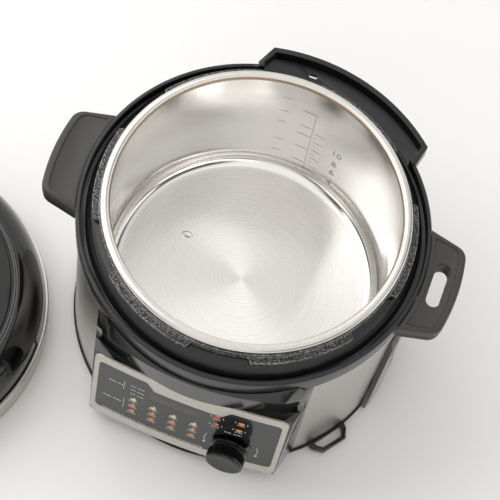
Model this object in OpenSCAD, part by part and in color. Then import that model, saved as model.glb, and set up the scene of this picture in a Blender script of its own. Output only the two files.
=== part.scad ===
// Electric pressure cooker with a removable pot, a front control housing with one dial,
// and a twist-lock lid that lies on the table beside the body.
// Millimetres, +Z up. The origin is the centre of the foot ring on the table.
// The control housing faces -Y, the slotted carrying handle is at +X.

/* [Pot] */
// Inner radius of the removable pot
pot_inner_r = 118; // [96:1:130]
// Depth of the pot from its rim to its floor
pot_depth = 143; // [110:1:180]
// Wall thickness of the pot
pot_wall = 1.2; // [0.8:0.1:2]
// Width of the rolled rim, from the inner wall to the outer edge
rim_w = 8; // [6:0.5:12]
// Thickness of the layered base under the pot floor
pot_base_t = 5; // [3:0.5:8]

/* [Body] */
// Height of the top edge of the collar above the table
collar_z = 187; // [150:1:230]
// How far the pot rim stands above the collar
rim_rise = 22; // [16:1:30]
// Width of the gutter and the lips between the pot rim and the outside of the collar
collar_w = 19.2; // [16:0.2:26]
// Height of the collar's outer skirt
skirt_h = 21; // [14:1:30]
// Thickness of the steel outer shell
shell_t = 0.8; // [0.5:0.1:1.5]
// Height of the rubber foot ring
foot_h = 2.5; // [1.5:0.5:6]

/* [Handles] */
// How far each handle reaches out from the collar
handle_reach = 29.8; // [22:0.2:40]
// Width of each handle where it meets the collar
handle_w = 97; // [70:1:120]
// Thickness of each handle, grip and lower shell together
handle_t = 17.5; // [12:0.5:24]
// Length of the slot through the right handle
slot_len = 40; // [24:1:50]
// Width of that slot
slot_w = 12; // [8:0.5:14]

/* [Control housing] */
// Width of the control face
face_w = 168; // [140:1:180]
// Height of the control face
face_h = 108; // [96:1:120]
// Height of the lower edge of the control face above the table
face_z = 18; // [12:1:30]
// Backward lean of the control face
face_lean = 3.7; // [0:0.1:8]
// Radius of the bulge of the control face
face_r = 591; // [400:1:900]
// Distance of the lower edge of the face in front of the steel shell
face_reach = 4.5; // [2:0.5:12]
// Width of the metal frame at the sides of the control face
frame_side = 4.5; // [3:0.5:8]
// Width of the metal frame along the top and bottom
frame_end = 11; // [6:0.5:14]

/* [Dial] */
// Radius of the dial knob
dial_r = 16.5; // [12:0.5:20]
// Length of the dial knob
dial_len = 16.5; // [13:0.5:28]
// Sideways place of the dial on the control face
dial_x = 42.5; // [20:0.5:50]
// Height of the dial on the control face
dial_h = 40; // [32:1:60]

/* [Lid] */
// Height of the lid's dome
lid_h = 70; // [55:1:90]
// Height of the lid's steel skirt
lid_band_h = 27; // [18:1:34]
// Radius of the pressure valve's knob
valve_r = 13; // [10:0.5:16]

/* [Hidden] */
$fn = 96;

// Gap left between pieces of different moving bodies
gap = 0.3;
// Small step that lets a cutter run past the face it cuts
eps = 0.5;

// Pot
pot_rim_r = pot_inner_r + rim_w;
pot_out_r = pot_inner_r + pot_wall;
rim_z = collar_z + rim_rise;
pot_floor_z = rim_z - pot_depth;
pot_under_z = pot_floor_z - pot_base_t;
rim_t = 5.7;

// Heating chamber around the pot
chamber_in_r = pot_out_r + 2.8;
chamber_t = 2;
chamber_out_r = chamber_in_r + chamber_t;
ring_t = 8;
lug_t = 4.4;
ring_top_z = rim_z - rim_t - gap;
chamber_top_z = ring_top_z - ring_t;
plate_top_z = pot_under_z - gap;
plate_t = 14.7;
plate_z = plate_top_z - plate_t;
plate_r = pot_inner_r - 13;
chamber_floor_z = plate_z - 11;
terminal_x = 14;
terminal_y = -72;
felt_t = 3;
felt_h = 120;
lug_r = pot_rim_r + 6;
lug_n = 6;
lug_turn = 6;
lug_foot = 42;
lug_tip = 34;

// Collar and shell
collar_r = pot_rim_r + collar_w;
shell_r = collar_r - 3.2;
shell_in_r = shell_r - shell_t;
skirt_z = collar_z - skirt_h;
lip_w = 4;
gutter_w = 3.8;
shell_z = foot_h + 3.5;
shell_top_z = skirt_z + 7;

// Rear splash ledge of the collar
hump_r = collar_r + 15.3;
hump_wall = 4.5;
hump_a1 = 46;
hump_a2 = 103.4;
hump_splay = 4;
hump_top_z = collar_z + 3;
hump_floor_z = collar_z - 8;

// Handles
handle_top_z = collar_z - 3;
handle_z = handle_top_z - handle_t;
grip_t = 10;
handle_r = collar_r + handle_reach;
handle_corner = 12;
handle_taper = 7;
recess_inset = 6;
recess_d = 1.2;
grip_screw_x = collar_r + 9;
grip_screw_y = 33;
slot_x = collar_r + 12.3;
slot_y = 1.5;

// Control housing
face_y = shell_r + face_reach;
frame_t = 2;
wall_t = 2.5;
side_y = 106;
side_x = sqrt(shell_r * shell_r - side_y * side_y);
housing_z = face_z - 4;
face_top_z = face_z + face_h * cos(face_lean);
ridge_r = 228;
ridge_y = ridge_r - face_y;
ridge_z = skirt_z - 1;
lean_polar = 76.3;
lean_turn = -33.7;
// The sloping shoulders pass through the top of the side walls where they meet the shell
shoulder_d = sin(lean_polar) * cos(lean_turn) * side_x
    - sin(lean_polar) * sin(lean_turn) * side_y + cos(lean_polar) * (skirt_z - 5);
film_w = face_w - 2 * frame_side;
film_z = frame_end + 1.5;
film_top = face_h - frame_end + 1;
tab_x1 = -33;
tab_x2 = 33;
tab_h = 11;
tab_slant = 7;
display_w = 44.8;
display_h = 12;
display_x = -11;
display_z = 68;
board_y = 9;
board_t = 1.6;
pad_t = 2;
shaft_r = 3;
bush_r = 4.2;
encoder_w = 13;
push_travel = 1;
knob_z = push_travel + 0.6;
cap_t = 1.5;
shaft_top = knob_z + dial_len - cap_t - 2.5;

// Mains inlet on the right flank
inlet_turn = -3;
inlet_half_top = 11;
inlet_half_bottom = 16.5;
inlet_z = foot_h + 1;
inlet_top_z = 124;
inlet_t = 5.5;
socket_w = 27;
socket_h = 20;
socket_z = 40;
socket_deep = 12.5;

// Base
pan_t = 2.5;
pan_z = foot_h;
post_h = 6;
screw_pcd_r = 96;

// Lid, placed beside the body
lid_x = -284;
lid_y = -118;
lid_turn = -68;
lid_r = shell_r;
lid_skin = 2.4;
plate_in_r = lug_r + 1.2;
lid_plate_t = 1.4;
lid_plate_z = 36;
groove_r = 113;
lid_lug_r = lug_r - 3;
valve_x = 84;
float_x = 84;
float_y = 26;
slider_x = -84;
handle_half = 58;
handle_rise = 26;
lid_screw_x = handle_half - 10;
float_travel = 7;
gasket_t = 1.6;
// The gasket stops just under the plate when the float is up
gasket_z = lid_plate_z - lid_plate_t - float_travel - gasket_t + 0.6;
dome_drop = 6;

// ---------------------------------------------------------------- shared helpers

// Points of an arc around [cx, cy] from angle a1 to a2
function arc(cx, cy, r, a1, a2, n) =
    [for (i = [0 : n]) let (a = a1 + (a2 - a1) * i / n) [cx + r * cos(a), cy + r * sin(a)]];

// A rectangle with rounded corners, centred in x and standing on y = 0
module round_rect(w, h, r) {
    polygon(concat(
        arc(w / 2 - r, r, r, -90, 0, 8), arc(w / 2 - r, h - r, r, 0, 90, 8),
        arc(r - w / 2, h - r, r, 90, 180, 8), arc(r - w / 2, r, r, 180, 270, 8)));
}

// A straight slot with round ends, along y
module slot_shape(len, w) {
    square([w, len - w], center = true);
    for (s = [-1, 1]) translate([0, s * (len - w) / 2]) circle(d = w);
}

// A tube of n sides swept along a list of points
module sweep(path, r, n) {
    last = len(path) - 1;
    function unit(v) = v / norm(v);
    function dir(i) = unit(path[min(i + 1, last)] - path[max(i - 1, 0)]);
    function side(t) = unit(cross(t, abs(t[2]) < 0.9 ? [0, 0, 1] : [1, 0, 0]));
    pts = [for (i = [0 : last]) let (t = dir(i), u = side(t), v = cross(t, u))
        for (k = [0 : n - 1]) path[i] + r * (cos(360 * k / n) * u + sin(360 * k / n) * v)];
    quads = [for (i = [0 : last - 1], k = [0 : n - 1]) let (m = (k + 1) % n)
        [i * n + k, (i + 1) * n + k, (i + 1) * n + m, i * n + m]];
    polyhedron(pts, concat(quads,
        [[for (k = [0 : n - 1]) k]], [[for (k = [n - 1 : -1 : 0]) last * n + k]]));
}

// Puts its children on the control face: x across, z up the face, -y out of it
module on_face() {
    translate([0, -face_y, face_z]) rotate([-face_lean, 0, 0]) children();
}

// How far the bulged control face falls back at a distance from its middle
function sag(x) = face_r - sqrt(face_r * face_r - x * x);

// A curved sheet that follows the control face, from depth d1 to d2 behind its surface
module face_sheet(d1, d2) {
    intersection() {
        difference() {
            translate([0, face_r, -eps]) cylinder(r = face_r - d1, h = face_h + 2 * eps, $fn = 360);
            translate([0, face_r, -2 * eps]) cylinder(r = face_r - d2, h = face_h + 4 * eps, $fn = 360);
        }
        translate([0, 30, 0]) rotate([90, 0, 0]) linear_extrude(60) children();
    }
}

module at_lid() {
    translate([lid_x, lid_y, 0]) rotate([0, 0, lid_turn]) children();
}

// ---------------------------------------------------------------- base

module foot_ring() {
    color("#2b2b2c") rotate_extrude() translate([shell_r - 28, 0])
        polygon([[0, 0], [11, 0], [12, 1], [12, foot_h], [9, foot_h], [9, foot_h + 0.9],
            [3, foot_h + 0.9], [3, foot_h], [-1, foot_h], [-1, 1]]);
}

module base_pan() {
    color("#1b1b1c") difference() {
        union() {
            translate([0, 0, pan_z]) cylinder(r = shell_r + 1.4, h = pan_t);
            translate([0, 0, pan_z + pan_t - eps]) cylinder(r = shell_r - 1.2, h = 10.5);
        }
        translate([0, 0, pan_z + pan_t]) cylinder(r = shell_r - 4, h = 20);
        rotate_extrude() translate([shell_r - 28, 0])
            polygon([[3, foot_h - 1], [9, foot_h - 1], [9, foot_h + 0.9], [3, foot_h + 0.9]]);
        for (a = [0 : 15 : 345], r = [30, 52, 74]) rotate([0, 0, a]) translate([r, 0, 0])
            linear_extrude(12) slot_shape(r * 0.16, 3);
        for (a = [45 : 90 : 315]) rotate([0, 0, a]) translate([screw_pcd_r, 0, 0])
            cylinder(r = 2.1, h = 12);
    }
}

module base_screws() {
    color("silver") for (a = [45 : 90 : 315]) rotate([0, 0, a]) translate([screw_pcd_r, 0, 0]) {
        translate([0, 0, pan_z + pan_t]) cylinder(r = 3.6, h = 2.2);
        translate([0, 0, pan_z + 0.4]) cylinder(r = 1.9, h = pan_t + 1);
    }
}

module outer_shell() {
    color("#c9c8c6") difference() {
        translate([0, 0, shell_z]) cylinder(r = shell_r, h = shell_top_z - shell_z, $fn = 180);
        translate([0, 0, shell_z - 1]) cylinder(r = shell_in_r, h = shell_top_z, $fn = 180);
        translate([-side_x + 8, -shell_r - 5, face_z + 4])
            cube([2 * side_x - 16, 80, face_h - 4]);
        rotate([0, 0, inlet_turn]) translate([shell_r - 20, -socket_w / 2 - 3, socket_z - 3])
            cube([40, socket_w + 6, socket_h + 6]);
    }
}

// ---------------------------------------------------------------- collar

// Outline of the splash ledge: an outer radius, the two end angles and the splay of its ends
module hump_shape(r, a1, a2) {
    intersection() {
        circle(r = r, $fn = 180);
        polygon([
            for (p = [[collar_r * 0.7, a1 - hump_splay], [collar_r, a1 - hump_splay],
                [hump_r + 1, a1], [hump_r * 1.5, (a1 * 3 + a2) / 4],
                [hump_r * 1.5, (a1 + a2 * 3) / 4], [hump_r + 1, a2],
                [collar_r, a2 + hump_splay + 1], [collar_r * 0.7, a2 + hump_splay + 1]])
            p[0] * [cos(p[1]), sin(p[1])]]);
    }
}

module top_collar() {
    in_r = chamber_out_r + 1.2;
    flange_r = collar_r - lip_w - gutter_w;
    color("#232324") difference() {
        union() {
            rotate_extrude($fn = 180) polygon([
                [collar_r - 0.6, skirt_z], [collar_r, collar_z - 1.4], [collar_r - 0.8, collar_z],
                [collar_r - lip_w + 0.6, collar_z], [collar_r - lip_w, collar_z - 0.8],
                [collar_r - lip_w, collar_z - 9], [flange_r, collar_z - 9],
                [flange_r, collar_z - 4], [flange_r - 1, collar_z - 3], [in_r + 5, collar_z + 6],
                [in_r + 0.8, collar_z + 7], [in_r, collar_z + 6.4], [in_r, collar_z + 3.5],
                [in_r + 4, collar_z + 2.6], [flange_r - 3.2, collar_z - 6],
                [flange_r - 3.2, collar_z - 11.5],
                [collar_r - 2.6, collar_z - 11.5], [collar_r - 2.6, skirt_z]]);
            difference() {
                translate([0, 0, hump_floor_z - 4]) linear_extrude(hump_top_z - hump_floor_z + 4)
                    hump_shape(hump_r, hump_a1, hump_a2);
                translate([0, 0, hump_floor_z]) linear_extrude(40)
                    hump_shape(hump_r - hump_wall, hump_a1 + 2, hump_a2 - 2);
                cylinder(r = collar_r - lip_w - 0.1, h = 300, $fn = 180);
            }
        }
        // The ledge opens into the gutter, so the lip is cut away along it
        translate([0, 0, hump_floor_z]) linear_extrude(40) difference() {
            hump_shape(hump_r - hump_wall, hump_a1 + 2, hump_a2 - 2);
            circle(r = flange_r + 0.1, $fn = 180);
        }
        // Drain slot through the ledge, just behind the shell
        translate([0.8, hump_r - hump_wall - 7.5, 0]) rotate([0, 0, 90])
            linear_extrude(300) slot_shape(8, 3.6);
    }
}

// ---------------------------------------------------------------- handles

// Plan of a handle: flanks that close in, round corners, an outer edge round the body's axis
module handle_shape(inset) {
    corner = handle_corner - inset / 2;
    reach = handle_r - inset - corner;
    flank = handle_w / 2 + 0.5 - inset;
    cy = handle_w / 2 - handle_taper - handle_corner;
    turn = asin(cy / reach);
    cx = reach * cos(turn);
    polygon(concat(
        [[collar_r * 0.9, -flank]], arc(cx, -cy, corner, -77, -turn, 8),
        arc(0, 0, handle_r - inset, -turn, turn, 12),
        arc(cx, cy, corner, turn, 77, 8), [[collar_r * 0.9, flank]]));
}

module handle_blank(z, h, inset) {
    difference() {
        translate([0, 0, z]) linear_extrude(h) handle_shape(inset);
        cylinder(r = collar_r + 0.02, h = 300, $fn = 180);
    }
}

module grip() {
    difference() {
        handle_blank(handle_top_z - grip_t, grip_t, 0);
        translate([0, 0, handle_top_z - recess_d]) linear_extrude(5) intersection() {
            handle_shape(recess_inset);
            difference() {
                square(500, center = true);
                circle(r = collar_r + 4, $fn = 180);
            }
        }
        for (s = [-1, 1]) translate([grip_screw_x, s * grip_screw_y, handle_z - 1])
            cylinder(r = 1.6, h = handle_t - 4);
    }
}

module grip_shell() {
    difference() {
        handle_blank(handle_z, handle_t - grip_t, 0.7);
        for (s = [-1, 1]) translate([grip_screw_x, s * grip_screw_y, handle_z - 1]) {
            cylinder(r = 1.8, h = 30);
            cylinder(r = 3.8, h = 4);
        }
    }
}

module handle_slot() {
    translate([slot_x, slot_y, handle_z - 1]) linear_extrude(handle_t + 2)
        slot_shape(slot_len, slot_w);
}

module right_grip() {
    color("#454545") difference() { grip(); handle_slot(); }
}

module right_grip_shell() {
    color("#3a3a3a") difference() { grip_shell(); handle_slot(); }
}

module left_grip() { color("#454545") rotate([0, 0, 180]) grip(); }

module left_grip_shell() { color("#3a3a3a") rotate([0, 0, 180]) grip_shell(); }

module grip_screws() {
    color("silver") for (turn = [0, 180], s = [-1, 1]) rotate([0, 0, turn])
        translate([grip_screw_x, s * grip_screw_y, handle_z]) {
            translate([0, 0, 0.6]) cylinder(r = 3.5, h = 2.2);
            translate([0, 0, 2.4]) cylinder(r = 1.5, h = handle_t - 8);
        }
}

// ---------------------------------------------------------------- control housing

// Plan of the housing between the shell and the front
module housing_plan(inset) {
    front_x = face_w / 2 - inset;
    polygon([[-side_x + inset, -side_y + 8], [-front_x, -face_y + 6],
        [-front_x, -face_y - 20], [front_x, -face_y - 20],
        [front_x, -face_y + 6], [side_x - inset, -side_y + 8]]);
}

// Everything behind the curved face, d behind its surface
module behind_face(d) {
    on_face() translate([0, face_r, -60]) cylinder(r = face_r - d, h = face_h + 160, $fn = 360);
}

// The ridge above the face with the hollow below it and the slope up to the collar
module ridge_body(inset) {
    translate([0, ridge_y, 0])
    rotate_extrude($fn = 360) polygon([
        [ridge_r - 60, housing_z + 20], [ridge_r - 7 - inset, housing_z + 20],
        [ridge_r - 7 - inset, face_top_z - 1], [ridge_r - 8.5 - inset, face_top_z + 9],
        [ridge_r - 8 - inset, face_top_z + 20], [ridge_r - 5.5 - inset, face_top_z + 30],
        [ridge_r - 1.5 - inset, ridge_z - 3 - inset], [ridge_r - inset, ridge_z - inset],
        [ridge_r - 2 - inset, ridge_z + 1.5 - inset], [ridge_r - 10, skirt_z + 8 - inset],
        [ridge_r - 60, skirt_z + 14 - inset]]);
}

// Cuts the two sloping shoulders
module shoulders(inset) {
    for (m = [0, 1]) mirror([m, 0, 0]) rotate([0, lean_polar, lean_turn])
        translate([-200, -200, shoulder_d - inset]) cube(400);
}

module housing_solid(inset) {
    difference() {
        union() {
            intersection() {
                translate([0, 0, housing_z + inset])
                    linear_extrude(face_top_z - housing_z - 2 * inset) housing_plan(inset);
                behind_face(frame_t + inset);
            }
            intersection() {
                translate([0, 0, face_top_z - 12]) linear_extrude(80) housing_plan(inset);
                ridge_body(inset);
            }
        }
        shoulders(inset);
        cylinder(r = shell_r + 0.02, h = 400, $fn = 180);
        translate([0, 0, skirt_z]) cylinder(r = collar_r + 0.02, h = 400, $fn = 180);
    }
}

module front_housing() {
    color("#161617") difference() {
        housing_solid(0);
        difference() {
            housing_solid(wall_t);
            translate([-200, -300, ridge_z - 8]) cube([400, 400, 100]);
        }
        on_face() {
            translate([display_x - display_w / 2 - 1, -5, display_z - 1])
                cube([display_w + 2, 40, display_h + 2]);
            translate([dial_x, 40, dial_h]) rotate([90, 0, 0]) cylinder(r = bush_r + 0.2, h = 60);
        }
        // Latch slot in the right flank
        translate([side_x - 16, -face_y + 8, face_top_z - 34]) cube([30, 3, 16]);
    }
}

module film_shape(grow) {
    w = film_w / 2 + grow;
    lo = film_z - grow;
    hi = film_top + grow;
    r = 5;
    tab_lo = hi - tab_h;
    polygon(concat(
        arc(w - r, lo + r, r, -90, 0, 6), arc(w - r, hi - r, r, 0, 90, 6),
        [[tab_x2 + tab_slant / 2 - grow, hi], [tab_x2 - tab_slant / 2 - grow, tab_lo],
            [tab_x1 + tab_slant / 2 + grow, tab_lo], [tab_x1 - tab_slant / 2 + grow, hi]],
        arc(-w + r, hi - r, r, 90, 180, 6), arc(-w + r, lo + r, r, 180, 270, 6)));
}

module display_shape(grow) {
    translate([display_x - display_w / 2 - grow, display_z - grow])
        square([display_w + 2 * grow, display_h + 2 * grow]);
}

module panel_frame() {
    color("#c5c2bd") on_face() face_sheet(0, frame_t) difference() {
        round_rect(face_w, face_h, 7);
        film_shape(0);
    }
}

module panel_film() {
    color("#5d5e60") on_face() face_sheet(0.4, frame_t) difference() {
        film_shape(-0.05);
        display_shape(0.05);
        translate([dial_x, dial_h]) circle(r = bush_r + 0.3);
    }
}

module display_window() {
    color("#7b736c") on_face() face_sheet(0.5, frame_t) display_shape(0);
}

module dial_plate() {
    color("#0e0e0f") on_face() face_sheet(-0.3, 0.4 - 0.01) difference() {
        translate([dial_x, dial_h]) circle(r = dial_r + 0.8);
        translate([dial_x, dial_h]) circle(r = bush_r + 0.3);
    }
}

module display_module() {
    front_y = frame_t + sag(abs(display_x) + display_w / 2) + gap;
    color("#d9d9d4") on_face() difference() {
        translate([display_x - display_w / 2, front_y, display_z])
            cube([display_w, board_y - front_y, display_h]);
        for (i = [0 : 3]) translate([display_x - 17 + i * 10, front_y - 1, display_z + 2.5])
            cube([6, 2, display_h - 5]);
    }
}

module control_board() {
    color("#2f6b45") on_face() difference() {
        union() {
            translate([-70, board_y, 14]) cube([140, board_t, 84]);
            for (i = [0 : 3], k = [0 : 2])
                translate([-50 + i * 19 - k * 0.6, board_y - pad_t, 28 + k * 12]) cube([6, pad_t, 6]);
            translate([-20, board_y + board_t, 60]) cube([26, 2, 14]);
        }
        translate([dial_x, board_y - 2, dial_h]) rotate([-90, 0, 0]) cylinder(r = shaft_r + 1, h = 8);
    }
}

// ---------------------------------------------------------------- dial

module on_dial() { on_face() translate([dial_x, 0, dial_h]) rotate([90, 0, 0]) children(); }

module encoder_body() {
    color("#8f9194") on_dial() difference() {
        union() {
            translate([-encoder_w / 2, -encoder_w / 2, -board_y])
                cube([encoder_w, encoder_w, board_y - frame_t - wall_t - sag(dial_x + encoder_w / 2) - gap]);
            translate([0, 0, -board_y]) cylinder(r = bush_r, h = board_y + 3);
        }
        translate([0, 0, -board_y - 1]) cylinder(r = shaft_r + 0.05, h = board_y + 6);
    }
}

module encoder_plunger() {
    color("#c9c9c4") on_dial() translate([0, 0, -board_y + 1.4]) cylinder(r = shaft_r - 0.4, h = 1.6);
}

module encoder_shaft() {
    color("#b9bbbd") on_dial() difference() {
        translate([0, 0, -board_y + 3.05]) cylinder(r = shaft_r, h = shaft_top + board_y - 3.05);
        translate([1.6, -5, 4.5]) cube([5, 10, 20]);
    }
}

module dial_knob() {
    top = knob_z + dial_len;
    color("#19191a") on_dial() difference() {
        union() {
            rotate_extrude() polygon([[0, knob_z], [dial_r - 1, knob_z], [dial_r - 0.4, knob_z + 0.6],
                [dial_r - 0.4, knob_z + 2.2], [dial_r - 2.8, knob_z + 3.2], [dial_r - 2.8, knob_z + 5.2],
                [dial_r - 1, knob_z + 6.8], [dial_r - 0.6, top - 2], [dial_r - 2.2, top], [0, top]]);
            for (a = [0 : 10 : 350]) rotate([0, 0, a]) translate([dial_r - 0.7, 0, knob_z + 7.4])
                cylinder(r = 0.7, h = dial_len - 10, $fn = 16);
        }
        translate([0, 0, knob_z - 1]) cylinder(r = bush_r + 0.8, h = 4.2);
        difference() {
            translate([0, 0, knob_z - 1]) cylinder(r = shaft_r + 0.02, h = shaft_top - knob_z + 1.5);
            translate([1.62, -5, 4.55]) cube([5, 10, 20]);
        }
        translate([0, 0, top - cap_t]) cylinder(r = dial_r - 3, h = 4);
    }
}

module dial_cap() {
    z0 = knob_z + dial_len - cap_t;
    color("#3b3b3c") on_dial() rotate_extrude()
        polygon([[0, z0], [dial_r - 3.02, z0], [dial_r - 3.02, z0 + cap_t - 0.1],
            [dial_r - 3.6, z0 + cap_t + 0.4], [0, z0 + cap_t - 0.1]]);
}

// ---------------------------------------------------------------- electrics

module power_board() {
    z0 = pan_z + pan_t + post_h;
    top = chamber_floor_z - 5 - z0;
    color("#8a6a3a") {
        translate([-62, -112, z0]) cube([124, 66, 1.6]);
        translate([-52, -100, z0 + 1.6]) cube([18, 15, top]);
        translate([-26, -104, z0 + 1.6]) cube([24, 20, top - 2]);
        translate([14, -98, z0 + 1.6]) cube([20, 16, top - 1]);
        for (x = [-44, -30, 6, 44]) translate([x, -62, z0 + 1.6]) cylinder(r = 5, h = top - 4);
        translate([42, -104, z0 + 1.6]) cube([14, 22, 8]);
    }
}

module board_posts() {
    z0 = pan_z + pan_t;
    color("#1b1b1c") for (x = [-56, 56], y = [-106, -52]) translate([x, y, z0])
        cylinder(r = 3, h = post_h);
}

// The cover widens towards the base, so its flanks are two sloping cuts
module inlet_cover() {
    lean = atan((inlet_half_bottom - inlet_half_top) * PI / 180 * shell_r / (inlet_top_z - inlet_z));
    half_mid = inlet_half_bottom * PI / 180 * shell_r;
    color("#151516") rotate([0, 0, inlet_turn]) difference() {
        translate([0, 0, inlet_z]) rotate([0, 0, -25])
            rotate_extrude(angle = 50, $fn = 180) polygon([
                [shell_r + 0.02, 2.5], [shell_r + inlet_t - 0.8, 0.4], [shell_r + inlet_t, 1.4],
                [shell_r + inlet_t - 0.8, inlet_top_z - inlet_z - 8],
                [shell_r + 0.8, inlet_top_z - inlet_z], [shell_r + 0.02, inlet_top_z - inlet_z]]);
        for (m = [0, 1]) mirror([0, m, 0]) translate([0, half_mid, inlet_z]) rotate([lean, 0, 0])
            translate([0, 0, -50]) cube([400, 200, 300]);
        translate([shell_r - 20, -socket_w / 2 - 0.3, socket_z - 0.3])
            cube([60, socket_w + 0.6, socket_h + 0.6]);
    }
}

module power_inlet() {
    color("#0f0f10") rotate([0, 0, inlet_turn]) difference() {
        union() {
            translate([shell_r - socket_deep, -socket_w / 2, socket_z])
                cube([socket_deep + 3, socket_w, socket_h]);
            translate([shell_r - 6, -socket_w / 2 - 4, socket_z - 4])
                cube([4, socket_w + 8, socket_h + 8]);
        }
        translate([shell_r - socket_deep + 2, -socket_w / 2 + 1.8, socket_z + 1.8])
            cube([40, socket_w - 3.6, socket_h - 3.6]);
        for (y = [-7, 0, 7]) translate([shell_r - 30, y - 1.1, pin_z(y) - 2.1]) cube([20, 2.2, 4.2]);
    }
}

// Height of a pin: the middle one stands above the other two
function pin_z(y) = socket_z + socket_h / 2 + (y == 0 ? 2 : -2);

module inlet_pins() {
    color("#cfae62") rotate([0, 0, inlet_turn]) for (y = [-7, 0, 7])
        translate([shell_r - socket_deep - 1, y - 1, pin_z(y) - 2]) cube([socket_deep, 2, 4]);
}

// Flat loop beside the base that holds a spoon
module accessory_loop() {
    color("#1a1a1b") rotate([0, 0, -36]) translate([0, 0, foot_h + 0.2]) linear_extrude(4.2)
        difference() {
            polygon([[shell_r - 6, -21], [shell_r + 5, -19], [shell_r + 13, -12], [shell_r + 13, 12],
                [shell_r + 5, 18], [shell_r - 6, 20]]);
            polygon([[shell_r + 1.6, -14], [shell_r + 5, -13.4], [shell_r + 9.4, -9.4],
                [shell_r + 9.4, 9.4], [shell_r + 5, 13], [shell_r + 1.6, 13.6]]);
            circle(r = shell_r + 1.42, $fn = 180);
        }
}

module inner_wires() {
    z0 = pan_z + pan_t + post_h + 4;
    color("#b5352c") for (k = [0 : 2])
        sweep([[shell_r - 11.6, -7 - (k - 1) * 6, socket_z - 1.5],
            [shell_r - 12, -8 - (k - 1) * 6, socket_z - 8], [shell_r - 16, -13 - (k - 1) * 6, 26 - k],
            [shell_r - 26, -26 - (k - 1) * 6, 20 - k], [shell_r - 42, -44 - (k - 1) * 6, z0],
            [66, -70 - (k - 1) * 6, z0]], 1.1, 8);
}

// ---------------------------------------------------------------- heating

module heating_chamber() {
    color("#a8a7a4") difference() {
        rotate_extrude($fn = 180) polygon([
            [0, chamber_floor_z - 2], [chamber_out_r - 8, chamber_floor_z - 2],
            [chamber_out_r - 2.5, chamber_floor_z + 0.5], [chamber_out_r, chamber_floor_z + 6],
            [chamber_out_r, chamber_top_z - 2.5], [pot_rim_r - 1, chamber_top_z - 2.5],
            [pot_rim_r - 1, chamber_top_z], [chamber_in_r, chamber_top_z],
            [chamber_in_r, chamber_floor_z + 6.5], [chamber_in_r - 2, chamber_floor_z + 2.5],
            [chamber_in_r - 7, chamber_floor_z], [0, chamber_floor_z]]);
        translate([0, 0, chamber_floor_z - 5]) cylinder(r = 5, h = 10);
        for (s = [-1, 1]) translate([s * terminal_x, terminal_y, chamber_floor_z - 5])
            cylinder(r = 4, h = 10);
    }
}

// Bayonet ring that the lid locks under: a neck that carries the pot's rim, with chamfered lugs
module locking_ring() {
    color("#4a4a4b") translate([0, 0, chamber_top_z + 0.01]) difference() {
        union() {
            cylinder(r = pot_rim_r + 0.5, h = ring_t - 0.01, $fn = 180);
            linear_extrude(lug_t) for (i = [0 : lug_n - 1])
                rotate([0, 0, lug_turn + i * 360 / lug_n]) intersection() {
                    circle(r = lug_r, $fn = 180);
                    polygon([[100, -lug_foot - 1], [pot_rim_r - 1, -lug_foot], [lug_r + 1, -lug_tip],
                        [lug_r * 1.1, 0], [lug_r + 1, lug_tip], [pot_rim_r - 1, lug_foot],
                        [100, lug_foot + 1]]);
                }
        }
        translate([0, 0, -1]) cylinder(r = chamber_in_r - 1.2, h = 20, $fn = 180);
    }
}

module insulation_wrap() {
    color("#d8d4c8") translate([0, 0, chamber_floor_z + 10]) difference() {
        cylinder(r = chamber_out_r + gap + felt_t, h = felt_h);
        translate([0, 0, -1]) cylinder(r = chamber_out_r + gap, h = felt_h + 2);
    }
}

module heating_plate() {
    color("#b9bcbf") difference() {
        union() {
            rotate_extrude() polygon([[0, plate_z], [plate_r - 2, plate_z], [plate_r, plate_z + 2],
                [plate_r, plate_top_z - 3], [plate_r - 3, plate_top_z], [0, plate_top_z]]);
            for (a = [30, 150, 270]) rotate([0, 0, a]) translate([90, 0, chamber_floor_z])
                cylinder(r = 6, h = plate_z - chamber_floor_z + 1);
        }
        translate([0, 0, plate_z - 1]) cylinder(r = 17, h = plate_t + 4);
    }
}

module heating_element() {
    color("#6d6f72") rotate([0, 0, -74])
        rotate_extrude(angle = 328) translate([74, plate_z - 4.1]) circle(r = 4, $fn = 24);
}

module heater_terminals() {
    color("#cfae62") for (s = [-1, 1]) translate([s * terminal_x, terminal_y, chamber_floor_z - 9])
        cylinder(r = 2.5, h = 9 + plate_z - chamber_floor_z - 8.2);
}

module sensor_puck() {
    color("#c3c5c8") {
        translate([0, 0, plate_top_z - 5.5]) cylinder(r = 14, h = 5.5);
        translate([0, 0, chamber_floor_z - 9]) cylinder(r = 4, h = plate_top_z - chamber_floor_z + 4);
    }
}

module sensor_spring() {
    lo = chamber_floor_z + 1.2;
    hi = plate_top_z - 5.5 - 1.2;
    turns = 5;
    steps = 14 * turns;
    color("#9da0a3") sweep([for (i = [0 : steps]) let (a = 360 * turns * i / steps)
        [8 * cos(a), 8 * sin(a), lo + (hi - lo) * i / steps]], 0.9, 8);
}

module thermal_fuse() {
    color("#e4dfd0") translate([40, 30, chamber_floor_z - 5.2]) rotate([0, 90, 0])
        cylinder(r = 3, h = 22, $fn = 48);
}

module pressure_switch() {
    color("#33373d") {
        translate([-55, 0, chamber_floor_z - 12]) cube([22, 16, 10]);
        translate([-44, 8, pan_z + pan_t]) cylinder(r = 4, h = chamber_floor_z - 12 - pan_z - pan_t);
    }
}

// ---------------------------------------------------------------- pot

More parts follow.
